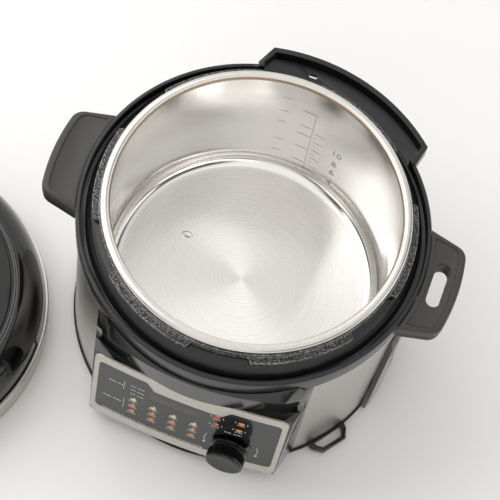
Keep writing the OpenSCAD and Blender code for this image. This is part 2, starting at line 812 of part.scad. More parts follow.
module inner_pot() {
    fillet = 12.4;
    color("#d5d2cd") rotate_extrude($fn = 180) polygon(concat(
        [[0, pot_under_z], [pot_inner_r - fillet - 4, pot_under_z]],
        arc(pot_out_r - fillet - 4.5, pot_under_z + fillet + 4.5, fillet + 4.5, -80, 0, 8),
        [[pot_out_r, rim_z - rim_t], [pot_rim_r - 1, rim_z - rim_t],
            [pot_rim_r, rim_z - rim_t + 1.2], [pot_rim_r, rim_z - 3.2]],
        arc(pot_rim_r - 3.2, rim_z - 3.2, 3.2, 20, 80, 4),
        arc(pot_inner_r + 3.4, rim_z - 3.4, 3.4, 95, 180, 6),
        arc(pot_inner_r - fillet, pot_floor_z + fillet, fillet, 0, -90, 10),
        [[0, pot_floor_z]]));
}

// ---------------------------------------------------------------- lid

module lid_shell() {
    shoulder = lid_r - 2.6;
    color("#1c1c1d") at_lid() difference() {
        rotate_extrude($fn = 180) polygon(concat(
            [[plate_in_r + 4, lid_band_h - 7], [shoulder, lid_band_h - 7]],
            [[shoulder, lid_band_h + 3], [shoulder - 3, lid_band_h + 16],
                [shoulder - 9, lid_h - 16], [shoulder - 16, lid_h - dome_drop - 3],
                [groove_r + 3.4, lid_h - dome_drop], [groove_r + 2.6, lid_h - dome_drop - 1.4],
                [groove_r + 1.4, lid_h - dome_drop - 1.4], [groove_r + 0.7, lid_h - dome_drop],
                [groove_r - 0.7, lid_h - dome_drop], [groove_r - 1.4, lid_h - dome_drop - 1.4],
                [groove_r - 2.6, lid_h - dome_drop - 1.4], [groove_r - 3.4, lid_h - dome_drop + 0.4],
                [60, lid_h - 1], [0, lid_h]],
            [[0, lid_h - lid_skin], [groove_r - 6, lid_h - dome_drop - 4.4],
                [shoulder - 20, lid_h - dome_drop - 6], [shoulder - 12, lid_h - 20],
                [shoulder - 5.5, lid_band_h + 14], [plate_in_r + 4, lid_band_h - 2]]));
        // Recess in the shoulder towards the body
        rotate([0, 0, 72]) rotate_extrude(angle = 42, $fn = 180)
            polygon([[shoulder - 0.9, lid_band_h + 1], [shoulder + 5, lid_band_h + 1],
                [shoulder + 5, lid_band_h + 15], [shoulder - 3.6, lid_band_h + 15]]);
        translate([valve_x, 0, 0]) cylinder(r = valve_r + 1.2, h = 200);
        translate([float_x, float_y, 0]) cylinder(r = 5.4, h = 200);
        for (s = [-1, 1]) translate([s * lid_screw_x, 0, 0]) cylinder(r = 3.3, h = 200);
    }
}

module lid_band() {
    color("#c7c6c3") at_lid() rotate_extrude($fn = 180) polygon([
        [lid_r - 2.2, 0], [lid_r - 0.6, 0], [lid_r, 0.8], [lid_r, lid_band_h - 1.4],
        [lid_r - 0.8, lid_band_h], [lid_r - 2.4, lid_band_h], [lid_r - 2.4, lid_band_h - 7.2],
        [lid_r - 1.4, lid_band_h - 7.2], [lid_r - 1.4, 1], [lid_r - 2.2, 1]]);
}

module lid_plate() {
    outer = plate_in_r + lid_plate_t;
    color("#cfcecb") at_lid() difference() {
        union() {
            rotate_extrude($fn = 180) polygon([
                [plate_in_r, 2], [outer, 2], [outer, lid_plate_z - 4],
                [outer - 4, lid_plate_z], [60, lid_plate_z + 2], [0, lid_plate_z + 2],
                [0, lid_plate_z + 2 - lid_plate_t], [60, lid_plate_z + 2 - lid_plate_t],
                [outer - 4.6, lid_plate_z - lid_plate_t], [plate_in_r, lid_plate_z - 4.6]]);
            translate([0, 0, 2]) linear_extrude(2.4) for (i = [0 : lug_n - 1])
                rotate([0, 0, 30 + i * 360 / lug_n]) intersection() {
                    difference() {
                        circle(r = plate_in_r + 0.2, $fn = 180);
                        circle(r = lid_lug_r, $fn = 180);
                    }
                    polygon([[100, -19], [plate_in_r + 10, -23], [plate_in_r + 10, 23], [100, 19]]);
                }
        }
        translate([valve_x, 0, 0]) cylinder(r = 4.2, h = 60);
        translate([float_x, float_y, 0]) cylinder(r = 3.4, h = 60);
    }
}

module sealing_ring() {
    z = lid_plate_z - 15;
    color("#b9b7ae") at_lid() rotate_extrude($fn = 180) polygon([
        [plate_in_r - 14, z + 1.5], [plate_in_r - 12, z], [plate_in_r - 2, z - 1],
        [plate_in_r - 0.4, z + 0.5], [plate_in_r - 0.4, z + 9.4], [plate_in_r - 1.6, z + 9.8],
        [plate_in_r - 2.6, z + 9], [plate_in_r - 3.4, z + 2.6], [plate_in_r - 10, z + 3.4],
        [plate_in_r - 12.4, z + 6], [plate_in_r - 13.6, z + 6]]);
}

module ring_rack() {
    color("#bfc1c4") at_lid() {
        translate([0, 0, lid_plate_z - 6]) rotate_extrude($fn = 180)
            translate([plate_in_r - 16.5, 0]) circle(r = 1.5, $fn = 24);
        for (i = [0 : 3]) rotate([0, 0, 45 + i * 90])
            translate([plate_in_r - 16.5, 0, lid_plate_z - 5.2]) cylinder(r = 1.4, h = 5.4 - lid_plate_t);
    }
}

// Bar handle on two feet, with the finger space under it
module lid_handle() {
    color("#262627") at_lid() difference() {
        translate([0, 17, 0]) rotate([90, 0, 0]) linear_extrude(34) polygon([
            [-handle_half, lid_h - 2.4], [-handle_half + 2, lid_h + 10],
            [-handle_half + 16, lid_h + handle_rise], [handle_half - 16, lid_h + handle_rise],
            [handle_half - 2, lid_h + 10], [handle_half, lid_h - 2.4],
            [handle_half - 16, lid_h - 0.4], [handle_half - 20, lid_h + handle_rise - 10],
            [-handle_half + 20, lid_h + handle_rise - 10], [-handle_half + 16, lid_h - 0.4]]);
        translate([0, 0, lid_h + handle_rise - 1.6]) linear_extrude(4)
            translate([0, -13]) round_rect(2 * handle_half - 40, 26, 5);
        dome_solid();
        for (s = [-1, 1]) translate([s * lid_screw_x, 0, 0]) cylinder(r = 2.52, h = lid_h + 7.4);
    }
}

// The dome's own surface, cut from what stands on it
module dome_solid() {
    rotate_extrude($fn = 180) polygon([[0, 0], [groove_r, 0], [groove_r - 3.4, lid_h - dome_drop + 0.4],
        [60, lid_h - 1], [0, lid_h]]);
}

module handle_cap() {
    color("#8d8d8e") at_lid() translate([0, -12.9, lid_h + handle_rise - 1.6]) linear_extrude(1.4)
        round_rect(2 * handle_half - 40.2, 25.8, 4.9);
}

module steam_valve() {
    z0 = lid_h - dome_drop - 2;
    color("#303031") at_lid() translate([valve_x, 0, 0]) difference() {
        union() {
            rotate_extrude() polygon([[0, z0], [valve_r, z0], [valve_r, z0 + 12],
                [valve_r - 1.5, z0 + 14], [0, z0 + 14]]);
            translate([-3.5, -valve_r - 7, z0 + 8]) cube([7, 2 * valve_r - 2, 6]);
        }
        translate([0, 0, z0 - 1]) cylinder(r = 3.1, h = 10);
        translate([0, 0, z0 - 1]) cylinder(r = 7, h = 3);
    }
}

module valve_pipe() {
    color("#c9cbce") at_lid() translate([valve_x, 0, 0]) difference() {
        union() {
            translate([0, 0, lid_plate_z - 4]) cylinder(r = 4.1, h = 8);
            translate([0, 0, lid_plate_z + 2.6]) cylinder(r = 7, h = 3);
            translate([0, 0, lid_plate_z + 2]) cylinder(r = 3, h = lid_h - dome_drop - lid_plate_z + 4);
        }
        translate([0, 0, 0]) cylinder(r = 1.6, h = 200);
    }
}

module float_pin() {
    color("#c9cbce") at_lid() translate([float_x, float_y, 0]) {
        translate([0, 0, gasket_z - 1]) cylinder(r = 2.4, h = lid_h - dome_drop - 0.5 - gasket_z + 1);
        translate([0, 0, gasket_z - 2.5]) cylinder(r = 5, h = 2.5);
    }
}

module float_gasket() {
    color("#c8502f") at_lid() translate([float_x, float_y, gasket_z]) difference() {
        cylinder(r = 4.4, h = gasket_t);
        translate([0, 0, -1]) cylinder(r = 2.4, h = 4);
    }
}

// Cage under the plate that keeps food out of the steam valve
module steam_screen() {
    z0 = lid_plate_z - 13;
    color("#c4c6c9") at_lid() translate([valve_x, 0, z0]) difference() {
        cylinder(r = 9.5, h = 9);
        translate([0, 0, 1.2]) cylinder(r = 8.4, h = 20);
        for (a = [0 : 30 : 330]) rotate([0, 0, a]) translate([7, -1.1, 2.6]) cube([5, 2.2, 3.6]);
        for (a = [0 : 60 : 300]) rotate([0, 0, a]) translate([4.6, 0, -1]) cylinder(r = 1, h = 5);
    }
}

module lock_slider() {
    color("#7f3a2f") at_lid() translate([slider_x, 0, lid_plate_z + 4]) {
        translate([-14, -6, 0]) cube([26, 12, 5]);
        translate([-24, -3, 0.5]) cube([11, 6, 4]);
    }
}

// Channel on the lid plate that the lock slider runs in
module slider_guide() {
    color("#e0ddd3") at_lid() translate([slider_x, 0, lid_plate_z + 2.1]) difference() {
        translate([-16, -9, 0]) cube([38, 18, 8.6]);
        translate([-40, -6.3, 1.6]) cube([60, 12.6, 5.6]);
    }
}

module lid_screws() {
    color("silver") at_lid() for (s = [-1, 1]) translate([s * lid_screw_x, 0, 0]) {
        translate([0, 0, lid_plate_z - 2.2]) cylinder(r = 4, h = 2.4);
        translate([0, 0, lid_plate_z + 2.1]) cylinder(r = 2.5, h = lid_h - lid_plate_z + 4.9);
    }
}

foot_ring();
base_pan();
base_screws();
outer_shell();
top_collar();
left_grip();
left_grip_shell();
right_grip();
right_grip_shell();
grip_screws();
front_housing();
panel_frame();
panel_film();
display_window();
dial_plate();
display_module();
control_board();
encoder_body();
encoder_plunger();
encoder_shaft();
dial_knob();
dial_cap();
power_board();
board_posts();
inlet_cover();
power_inlet();
inlet_pins();
accessory_loop();
heating_chamber();
locking_ring();
insulation_wrap();
heating_plate();
heating_element();
heater_terminals();
sensor_puck();
sensor_spring();
thermal_fuse();
pressure_switch();
inner_wires();
inner_pot();
lid_shell();
lid_band();
lid_plate();
sealing_ring();
ring_rack();
lid_handle();
handle_cap();
steam_valve();
valve_pipe();
float_pin();
float_gasket();
steam_screen();
lock_slider();
slider_guide();
lid_screws();
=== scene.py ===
# %% [markdown]
# # An electric pressure cooker, open, with its lid beside it
#
# The cooker's frame comes from its CAD model: every solid is already at its real size and place. Here the looks are
# made round that frame. A CAD solid whose shape is right keeps its mesh and gets a real finish. A piece that needs
# softer edges, print or polish is modelled again with Blender's own tools, and then stands for its solid.

# %% Load the frame
from math import cos, pi, radians, sin, sqrt

import bmesh
import bpy
from mathutils import Matrix, Vector


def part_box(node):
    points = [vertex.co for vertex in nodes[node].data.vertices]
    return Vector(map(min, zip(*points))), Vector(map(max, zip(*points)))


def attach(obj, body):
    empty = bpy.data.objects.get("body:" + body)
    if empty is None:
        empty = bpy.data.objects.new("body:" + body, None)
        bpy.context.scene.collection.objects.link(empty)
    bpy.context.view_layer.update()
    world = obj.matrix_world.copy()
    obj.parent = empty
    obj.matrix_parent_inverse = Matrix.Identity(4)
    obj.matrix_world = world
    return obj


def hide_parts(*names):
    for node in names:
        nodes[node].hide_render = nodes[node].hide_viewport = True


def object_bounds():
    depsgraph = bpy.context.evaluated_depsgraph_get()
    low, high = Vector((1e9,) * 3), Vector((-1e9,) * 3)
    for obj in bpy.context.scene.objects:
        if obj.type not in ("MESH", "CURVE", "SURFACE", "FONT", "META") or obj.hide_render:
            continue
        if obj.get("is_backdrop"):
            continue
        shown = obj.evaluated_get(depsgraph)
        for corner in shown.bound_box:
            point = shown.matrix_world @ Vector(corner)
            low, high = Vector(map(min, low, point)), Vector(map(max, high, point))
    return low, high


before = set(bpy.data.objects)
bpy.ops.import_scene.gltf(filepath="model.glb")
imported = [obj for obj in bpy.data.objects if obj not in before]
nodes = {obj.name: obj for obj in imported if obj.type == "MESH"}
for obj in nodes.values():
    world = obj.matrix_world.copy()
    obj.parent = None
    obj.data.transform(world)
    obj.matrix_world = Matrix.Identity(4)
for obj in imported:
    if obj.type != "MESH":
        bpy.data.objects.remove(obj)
cad_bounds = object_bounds()
mm = 0.001
print("CAD box in metres:", [round(side, 3) for side in cad_bounds[1] - cad_bounds[0]])

# %% [markdown]
# ## Measures
#
# A piece that fits another takes its size from it. So the main radii and heights are read from the CAD solids'
# boxes, and only the shapes that a box can't say, such as the bulge of the control face, are written as numbers.

# %% Read the main sizes from the CAD solids
pot_low, pot_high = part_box("inner_pot")
shell_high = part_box("outer_shell")[1]
lid_low, lid_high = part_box("lid_band")
knob_low, knob_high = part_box("dial_knob")

rim_r = pot_high.x
rim_z = pot_high.z
pot_r = rim_r - 8 * mm
shell_r = shell_high.x
collar_r = shell_r + 3.2 * mm
collar_z = rim_z - 22 * mm
lid_at = Vector(((lid_low.x + lid_high.x) / 2, (lid_low.y + lid_high.y) / 2, 0))
lid_turn = radians(-68)

face_lean = radians(3.7)
face_r = 591 * mm
face_at = Vector((0, -(shell_r + 4.5 * mm), 18 * mm))
face_frame = Matrix.Translation(face_at) @ Matrix.Rotation(-face_lean, 4, "X")
film_depth = 0.4 * mm
dial_x = (knob_low.x + knob_high.x) / 2
dial_h = 40 * mm
dial_r = (knob_high.x - knob_low.x) / 2
dial_frame = face_frame @ Matrix.Translation((dial_x, 0, dial_h)) @ Matrix.Rotation(pi / 2, 4, "X")
print("rim radius", round(rim_r, 4), "shell radius", round(shell_r, 4))
print("dial at", round(dial_x, 4), "radius", round(dial_r, 4))

# %% [markdown]
# ## Camera
#
# The cooker is seen from high above its front, with the camera tipped a little to one side, through a long lens
# that keeps the circles of the pot nearly true.

# %% Place the camera
camera_place = Vector((94.9, -692.6, 1577.7)) * mm
camera_aim = Vector((1.42, 3.34, 120)) * mm
camera_roll = radians(13.18)
bpy.ops.object.camera_add(location=camera_place)
camera = bpy.context.object
look = (camera_aim - camera_place).to_track_quat("-Z", "Y").to_matrix().to_4x4()
camera.matrix_world = Matrix.Translation(camera_place) @ look @ Matrix.Rotation(camera_roll, 4, "Z")
camera.data.lens = 138.4
camera.data.sensor_width = 36
camera.data.clip_end = 20
bpy.context.scene.camera = camera
bpy.context.scene.view_settings.view_transform = "Standard"

# %% [markdown]
# ## Lights and table
#
# The studio is a plain white table under large soft lights: one over the table and one at each side. They are large,
# because polished steel and gloss plastic show the lights' own shapes, and a small one would be a hard spot.

# %% Hang the lights and lay the table
LIGHTS = {
    "light_over": ((-1.4, 0.6, 1.6), (0, 0, 0), 2.4, 20),
    "light_left": ((-1.7, -0.3, 1.3), (0, 0, 0.1), 1.6, 9),
    "light_right": ((1.7, 0.4, 1.1), (0, 0, 0.15), 1.2, 4),
}
for name, (place, aim, side, power) in LIGHTS.items():
    bpy.ops.object.light_add(type="AREA", location=place)
    light = bpy.context.object
    light.name = name
    light.rotation_euler = (Vector(aim) - Vector(place)).to_track_quat("-Z", "Y").to_euler()
    light.data.shape = "DISK"
    light.data.size = side
    light.data.energy = power

bpy.ops.mesh.primitive_plane_add(size=14, location=(0, 0, 0))
table = bpy.context.object
table.name = "table"
table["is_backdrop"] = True
print("lights:", len(LIGHTS))

# %% [markdown]
# ## Helpers for materials
#
# Colours are written as designers write them, as sRGB hex, and one function turns them linear. A second small
# function adds a node, sets what it is told and links what it is given. A finish starts as one Principled shader
# with Object coordinates, and ends when its colour, roughness and relief are joined to that shader.

# %% Colour and node helpers
def tint(code):
    """An sRGB hex colour as linear red, green, blue and alpha."""
    parts = [int(code[i : i + 2], 16) / 255 for i in (1, 3, 5)]
    return (*[c / 12.92 if c <= 0.04045 else ((c + 0.055) / 1.055) ** 2.4 for c in parts], 1.0)


def add(tree, kind, inputs=None, **settings):
    """Adds a node: settings are its properties, inputs are socket values or the sockets that feed them."""
    made = tree.nodes.new(kind)
    for key, value in settings.items():
        setattr(made, key, value)
    for key, value in (inputs or {}).items():
        if isinstance(value, bpy.types.NodeSocket):
            tree.links.new(value, made.inputs[key])
        else:
            made.inputs[key].default_value = value
    return made


def start_finish(name, **sockets):
    """A new material with one Principled shader. Returns the material, its tree and Object coordinates."""
    made = bpy.data.materials.new(name)
    made.use_nodes = True
    for key, value in sockets.items():
        made.node_tree.nodes["Principled BSDF"].inputs[key.replace("_", " ")].default_value = value
    place = add(made.node_tree, "ShaderNodeTexCoord").outputs["Object"]
    return made, made.node_tree, place


def end_finish(made, colour, roughness, height, depth, tangent=None):
    """Joins colour, roughness and a relief of that depth in metres to the material's shader."""
    tree = made.node_tree
    shader = tree.nodes["Principled BSDF"]
    bump = add(tree, "ShaderNodeBump", {"Height": height, "Distance": depth, "Strength": 0.5})
    tree.links.new(colour, shader.inputs["Base Color"])
    tree.links.new(roughness, shader.inputs["Roughness"])
    tree.links.new(bump.outputs["Normal"], shader.inputs["Normal"])
    if tangent:
        tree.links.new(tangent, shader.inputs["Tangent"])
    return made


print("material helpers ready")

# %% [markdown]
# ## The table's laminate and the sky
#
# The table is a white laminate, nearly matt, with the faintest cloudiness. Round it the sky is white, because black
# gloss plastic has no colour of its own: its greys are the white room, mirrored at a twentieth of its brightness.
# Steel mirrors nearly all of it, so a dark warm patch hangs at each side of the sky, at a middle height, for the
# steel to catch.

# %% The table and the sky
table_white, tree, place = start_finish("white_table_laminate")
cloud = add(tree, "ShaderNodeTexNoise", {"Vector": place, "Scale": 2.0}).outputs["Fac"]
tone = add(tree, "ShaderNodeMix", {0: cloud, 6: tint("#f2f2f1"), 7: tint("#f7f7f6")}, data_type="RGBA").outputs[2]
satin = add(tree, "ShaderNodeMapRange", {"Value": cloud, "To Min": 0.55, "To Max": 0.65}).outputs["Result"]
table.data.materials.append(end_finish(table_white, tone, satin, cloud, 0.01 * mm))

world = bpy.data.worlds.new("studio")
bpy.context.scene.world = world
world.use_nodes = True
sky = world.node_tree
direction = add(sky, "ShaderNodeTexCoord").outputs["Generated"]
parts = add(sky, "ShaderNodeSeparateXYZ", {"Vector": direction})
band = add(sky, "ShaderNodeValToRGB", {"Fac": parts.outputs["Z"]})
band.color_ramp.interpolation = "B_SPLINE"
BAND = ((0.0, "#000000"), (0.30, "#000000"), (0.40, "#ffffff"), (0.76, "#ffffff"), (0.84, "#000000"))
for index, (height, code) in enumerate(BAND):
    stops = band.color_ramp.elements
    stop = stops[index] if index < 2 else stops.new(height)
    stop.position, stop.color = height, tint(code)
sideways = add(sky, "ShaderNodeMath", {0: parts.outputs["X"]}, operation="ABSOLUTE").outputs[0]
sideways = add(sky, "ShaderNodeMapRange", {"Value": sideways, "From Min": 0.34, "From Max": 0.5})
dim = add(sky, "ShaderNodeMath", {0: band.outputs["Color"], 1: sideways.outputs["Result"]}, operation="MULTIPLY")
dim = dim.outputs[0]
sky_tone = add(sky, "ShaderNodeMix", {0: dim, 6: tint("#fbfaf8"), 7: tint("#3a3026")}, data_type="RGBA").outputs[2]
sky.links.new(sky_tone, sky.nodes["Background"].inputs["Color"])
sky.nodes["Background"].inputs["Strength"].default_value = 1.05
print("sky band stops:", len(BAND))

# %% [markdown]
# ## Stainless steel, four ways
#
# The same 18/8 stainless steel shows four finishes here. The shell is brushed round and satin. The pot's wall is
# polished and slightly wavy from drawing, so that reflections run down it in streaks. Its floor was turned on a
# lathe: fine circular grooves make the light fan out from the centre, which is what anisotropy with a tangent that
# runs round the axis does. The rolled rim is satin again. Steel keeps the default IOR and is fully metallic.

# %% Brushed shell
shell_steel, tree, place = start_finish("brushed_shell_steel", Metallic=1.0, Anisotropic=0.5)
# Brush lines are 0.05 mm apart on the real shell, drawn here at about 0.4 mm so that they show
long_way = add(tree, "ShaderNodeMapping", {"Vector": place, "Scale": (1, 1, 50)}).outputs["Vector"]
lines = add(tree, "ShaderNodeTexNoise", {"Vector": long_way, "Scale": 1 / (20 * mm), "Detail": 3.0}).outputs["Fac"]
tone = add(tree, "ShaderNodeMix", {0: lines, 6: tint("#b5b2ae"), 7: tint("#d2cfcb")}, data_type="RGBA").outputs[2]
satin = add(tree, "ShaderNodeMapRange", {"Value": lines, "To Min": 0.26, "To Max": 0.42}).outputs["Result"]
round_z = add(tree, "ShaderNodeTangent", direction_type="RADIAL", axis="Z").outputs["Tangent"]
end_finish(shell_steel, tone, satin, lines, 0.03 * mm, round_z)
print("made", shell_steel.name)

# %% [markdown]
# The wall is the brightest steel. Its relief is long and shallow, and runs down the wall, so reflections are drawn
# out into upright streaks. Across them run very fine polishing lines, which only change the roughness.

# %% Polished wall
wall_steel, tree, place = start_finish("polished_wall_steel", Metallic=1.0)
# The waves left by drawing are about 45 mm across and ten times as long, and run down the wall
down = add(tree, "ShaderNodeMapping", {"Vector": place, "Scale": (1, 1, 0.1)}).outputs["Vector"]
wave = add(tree, "ShaderNodeTexNoise", {"Vector": down, "Scale": 1 / (45 * mm), "Detail": 0.0}).outputs["Fac"]
across = add(tree, "ShaderNodeMapping", {"Vector": place, "Scale": (1, 1, 60)}).outputs["Vector"]
lines = add(tree, "ShaderNodeTexNoise", {"Vector": across, "Scale": 1 / (40 * mm), "Detail": 2.0}).outputs["Fac"]
tone = add(tree, "ShaderNodeMix", {0: wave, 6: tint("#e8e6e3"), 7: tint("#f5f4f2")}, data_type="RGBA").outputs[2]
shine = add(tree, "ShaderNodeMapRange", {"Value": lines, "To Min": 0.09, "To Max": 0.16}).outputs["Result"]
end_finish(wall_steel, tone, shine, wave, 0.6 * mm)
print("made", wall_steel.name)

# %% [markdown]
# The floor's grooves are rings about the axis, so their pattern is a noise of one number, the distance from the axis.

# %% Turned floor
floor_steel, tree, place = start_finish("turned_floor_steel", Metallic=1.0, Anisotropic=0.8)
flat = add(tree, "ShaderNodeMapping", {"Vector": place, "Scale": (1, 1, 0)}).outputs["Vector"]
radius = add(tree, "ShaderNodeVectorMath", {0: flat}, operation="LENGTH").outputs["Value"]
# Turning grooves, 0.15 mm apart on the real floor, drawn about 1.6 mm apart
rings = add(tree, "ShaderNodeTexNoise", {"W": radius, "Scale": 1 / (1.6 * mm), "Detail": 2.0},
            noise_dimensions="1D").outputs["Fac"]
tone = add(tree, "ShaderNodeMix", {0: rings, 6: tint("#d8d6d3"), 7: tint("#eae8e5")}, data_type="RGBA").outputs[2]
satin = add(tree, "ShaderNodeMapRange", {"Value": rings, "To Min": 0.24, "To Max": 0.32}).outputs["Result"]
round_z = add(tree, "ShaderNodeTangent", direction_type="RADIAL", axis="Z").outputs["Tangent"]
end_finish(floor_steel, tone, satin, rings, 0.025 * mm, round_z)
print("made", floor_steel.name)

# %% [markdown]
# The rim is brushed round like the shell but paler, with a small cloudiness in its colour and roughness.

# %% Satin rim
rim_steel, tree, place = start_finish("satin_rim_steel", Metallic=1.0, Anisotropic=0.4)
cloud = add(tree, "ShaderNodeTexNoise", {"Vector": place, "Scale": 1 / (8 * mm), "Detail": 2.0}).outputs["Fac"]
tone = add(tree, "ShaderNodeMix", {0: cloud, 6: tint("#d2cfca"), 7: tint("#dfdcd8")}, data_type="RGBA").outputs[2]
satin = add(tree, "ShaderNodeMapRange", {"Value": cloud, "To Min": 0.2, "To Max": 0.28}).outputs["Result"]
round_z = add(tree, "ShaderNodeTangent", direction_type="RADIAL", axis="Z").outputs["Tangent"]
end_finish(rim_steel, tone, satin, cloud, 0.02 * mm, round_z)
print("steels:", shell_steel.name, wall_steel.name, floor_steel.name, rim_steel.name)

# %% [markdown]
# ## Plastics
#
# Almost every dark part is moulded. What tells the mouldings apart is how their tool was finished: the collar is
# ABS from a polished tool and shines, the housing is ABS with a lacquer coat and mirrors the lights, the handles
# are glass-filled polypropylene from a tool with a fine spark-eroded grain, and rubber and the base are matt.
# One function takes the colours, the roughness, the grain's size and its depth.

# %% Moulded plastics
def moulded(name, dark, light, rough, grain_size, depth, coat=0.0):
    """Moulded plastic: two close colours, a roughness that varies a little, and the tool's grain as relief."""
    made, tree, place = start_finish(name, IOR=1.5, Coat_Weight=coat, Coat_Roughness=0.05)
    flow = add(tree, "ShaderNodeTexNoise", {"Vector": place, "Scale": 1 / (25 * mm), "Detail": 2.0}).outputs["Fac"]
    fine = add(tree, "ShaderNodeTexNoise", {"Vector": place, "Scale": 1 / grain_size, "Detail": 3.0}).outputs["Fac"]
    tone = add(tree, "ShaderNodeMix", {0: flow, 6: tint(dark), 7: tint(light)}, data_type="RGBA").outputs[2]
    satin = add(tree, "ShaderNodeMapRange", {"Value": fine, "To Min": rough * 0.75, "To Max": rough * 1.25})
    return end_finish(made, tone, satin.outputs["Result"], fine, depth)


collar_abs = moulded("satin_collar_abs", "#141415", "#18181a", 0.24, 1.2 * mm, 0.008 * mm)
handle_pp = moulded("grained_handle_pp", "#343332", "#3b3a39", 0.42, 0.5 * mm, 0.03 * mm)
handle_under_pp = moulded("grained_handle_shell_pp", "#1c1c1d", "#222223", 0.45, 0.5 * mm, 0.03 * mm)
housing_abs = moulded("lacquered_housing_abs", "#070708", "#0a0a0b", 0.12, 9 * mm, 0.012 * mm, coat=0.4)
base_pp = moulded("matt_base_pp", "#171718", "#1c1c1d", 0.6, 0.6 * mm, 0.03 * mm)
foot_rubber = moulded("foot_rubber", "#1e1e1e", "#242424", 0.8, 0.8 * mm, 0.04 * mm)
knob_abs = moulded("satin_knob_abs", "#08080a", "#0c0c0d", 0.24, 0.5 * mm, 0.02 * mm)
cap_abs = moulded("matt_cap_abs", "#2a2a2b", "#303031", 0.5, 0.4 * mm, 0.02 * mm)
plate_abs = moulded("gloss_plate_abs", "#050506", "#080809", 0.12, 5 * mm, 0.01 * mm)
film_polyester = moulded("gloss_film_polyester", "#242527", "#28292b", 0.13, 8 * mm, 0.006 * mm)
window_smoke = moulded("smoked_window_acrylic", "#3b352f", "#403a34", 0.1, 8 * mm, 0.006 * mm)
module_white = moulded("moulded_white_nylon", "#d4d3cc", "#dddcd6", 0.5, 0.5 * mm, 0.02 * mm)
seal_silicone = moulded("milky_silicone", "#c2bfb4", "#cdcabf", 0.5, 0.8 * mm, 0.02 * mm)
seal_red = moulded("red_silicone", "#b8452a", "#c2502f", 0.55, 0.6 * mm, 0.02 * mm)
slider_red = moulded("red_brown_acetal", "#753229", "#7f3a2f", 0.4, 0.5 * mm, 0.02 * mm)
lid_abs = moulded("gloss_lid_abs", "#0b0b0b", "#0e0e0e", 0.1, 16 * mm, 0.012 * mm, coat=0.3)
handle_cap_pp = moulded("silver_handle_cap", "#8a8988", "#929190", 0.38, 0.5 * mm, 0.02 * mm)
board_green = moulded("green_solder_mask", "#1c5a38", "#2b7048", 0.35, 1.2 * mm, 0.02 * mm)
board_tan = moulded("tan_paper_laminate", "#80602f", "#8f6f3c", 0.6, 0.8 * mm, 0.03 * mm)
wool_felt = moulded("white_felt", "#cfcbbd", "#dedacd", 0.8, 0.7 * mm, 0.3 * mm)
wire_red = moulded("red_wire_sleeve", "#a32d26", "#b5352c", 0.5, 0.6 * mm, 0.02 * mm)
ink_white = moulded("white_screen_ink", "#d4d2cd", "#e2e0dc", 0.5, 0.3 * mm, 0.01 * mm)
ink_cream = moulded("cream_screen_ink", "#dccf9c", "#e8dfb2", 0.5, 0.3 * mm, 0.01 * mm)
ink_tan = moulded("tan_screen_ink", "#c79070", "#d8a888", 0.5, 0.3 * mm, 0.01 * mm)
ink_orange = moulded("orange_screen_ink", "#dd7d3e", "#ee9a52", 0.5, 0.3 * mm, 0.01 * mm)
ink_red = moulded("red_screen_ink", "#c83c30", "#dc5240", 0.5, 0.3 * mm, 0.01 * mm)
print("moulded finishes:", len([m for m in bpy.data.materials if m.use_nodes]))

# %% [markdown]
# ## The hammered coat of the locking ring
#
# The locking ring is die-cast aluminium under a hammered powder coat: near-black with pale flecks a few tenths of a
# millimetre across. It is made of cells whose middles are dark and whose borders are pale, broken up by noise. A paler
# copy of the same coat covers the edges, as a painted highlight on the chamfers.

# %% Hammered coats
def hammered(name, dark, pale, share):
    """A hammered powder coat: dark cells, and pale flecks over that share of it."""
    made, tree, place = start_finish(name, IOR=1.5)
    # The flecks are a few tenths of a millimetre, drawn at about 0.9 mm so that they show
    noise = add(tree, "ShaderNodeTexNoise", {"Vector": place, "Scale": 1 / (0.9 * mm), "Detail": 4.0}).outputs["Fac"]
    cells = add(tree, "ShaderNodeTexVoronoi", {"Vector": place, "Scale": 1 / (0.9 * mm)}).outputs["Distance"]
    fleck = add(tree, "ShaderNodeMath", {0: noise, 1: cells}, operation="MULTIPLY").outputs[0]
    low, high = 0.33 - share * 0.3, 0.5 - share * 0.3
    fleck = add(tree, "ShaderNodeMapRange", {"Value": fleck, "From Min": low, "From Max": high}).outputs["Result"]
    tone = add(tree, "ShaderNodeMix", {0: fleck, 6: tint(dark), 7: tint(pale)}, data_type="RGBA").outputs[2]
    satin = add(tree, "ShaderNodeMapRange", {"Value": cells, "To Min": 0.7, "To Max": 0.55}).outputs["Result"]
    return end_finish(made, tone, satin, fleck, 0.15 * mm)


ring_coat = hammered("hammered_ring_coat", "#101011", "#a3a2a0", 0.2)
# The paler edge coat is a painted highlight: it makes the chamfers look lit
ring_edge_highlight_coat = hammered("painted_highlight_ring_edge_coat", "#3c3c3c", "#d2d1ce", 0.5)
print("coats:", ring_coat.name, ring_edge_highlight_coat.name)

# %% [markdown]
# ## Metals and paint
#
# The panel's frame is a zinc casting sprayed with a warm silver paint, whose flakes sparkle a little. The parts
# inside are plain trade finishes: cast aluminium, zinc plate and brass. Each is a metal whose fine grain changes
# its colour and its roughness a little. A stretched grain makes drawn steel.

# %% Metals and silver paint
def plain_metal(name, dark, light, rough, grain_size, stretch=(1, 1, 1)):
    """A bare metal with a fine grain, stretched along an axis where it was drawn."""
    made, tree, place = start_finish(name, Metallic=1.0)
    drawn_out = add(tree, "ShaderNodeMapping", {"Vector": place, "Scale": stretch}).outputs["Vector"]
    fine = add(tree, "ShaderNodeTexNoise", {"Vector": drawn_out, "Scale": 1 / grain_size, "Detail": 3.0}).outputs["Fac"]
    tone = add(tree, "ShaderNodeMix", {0: fine, 6: tint(dark), 7: tint(light)}, data_type="RGBA").outputs[2]
    satin = add(tree, "ShaderNodeMapRange", {"Value": fine, "To Min": rough * 0.8, "To Max": rough * 1.2})
    return end_finish(made, tone, satin.outputs["Result"], fine, 0.02 * mm)


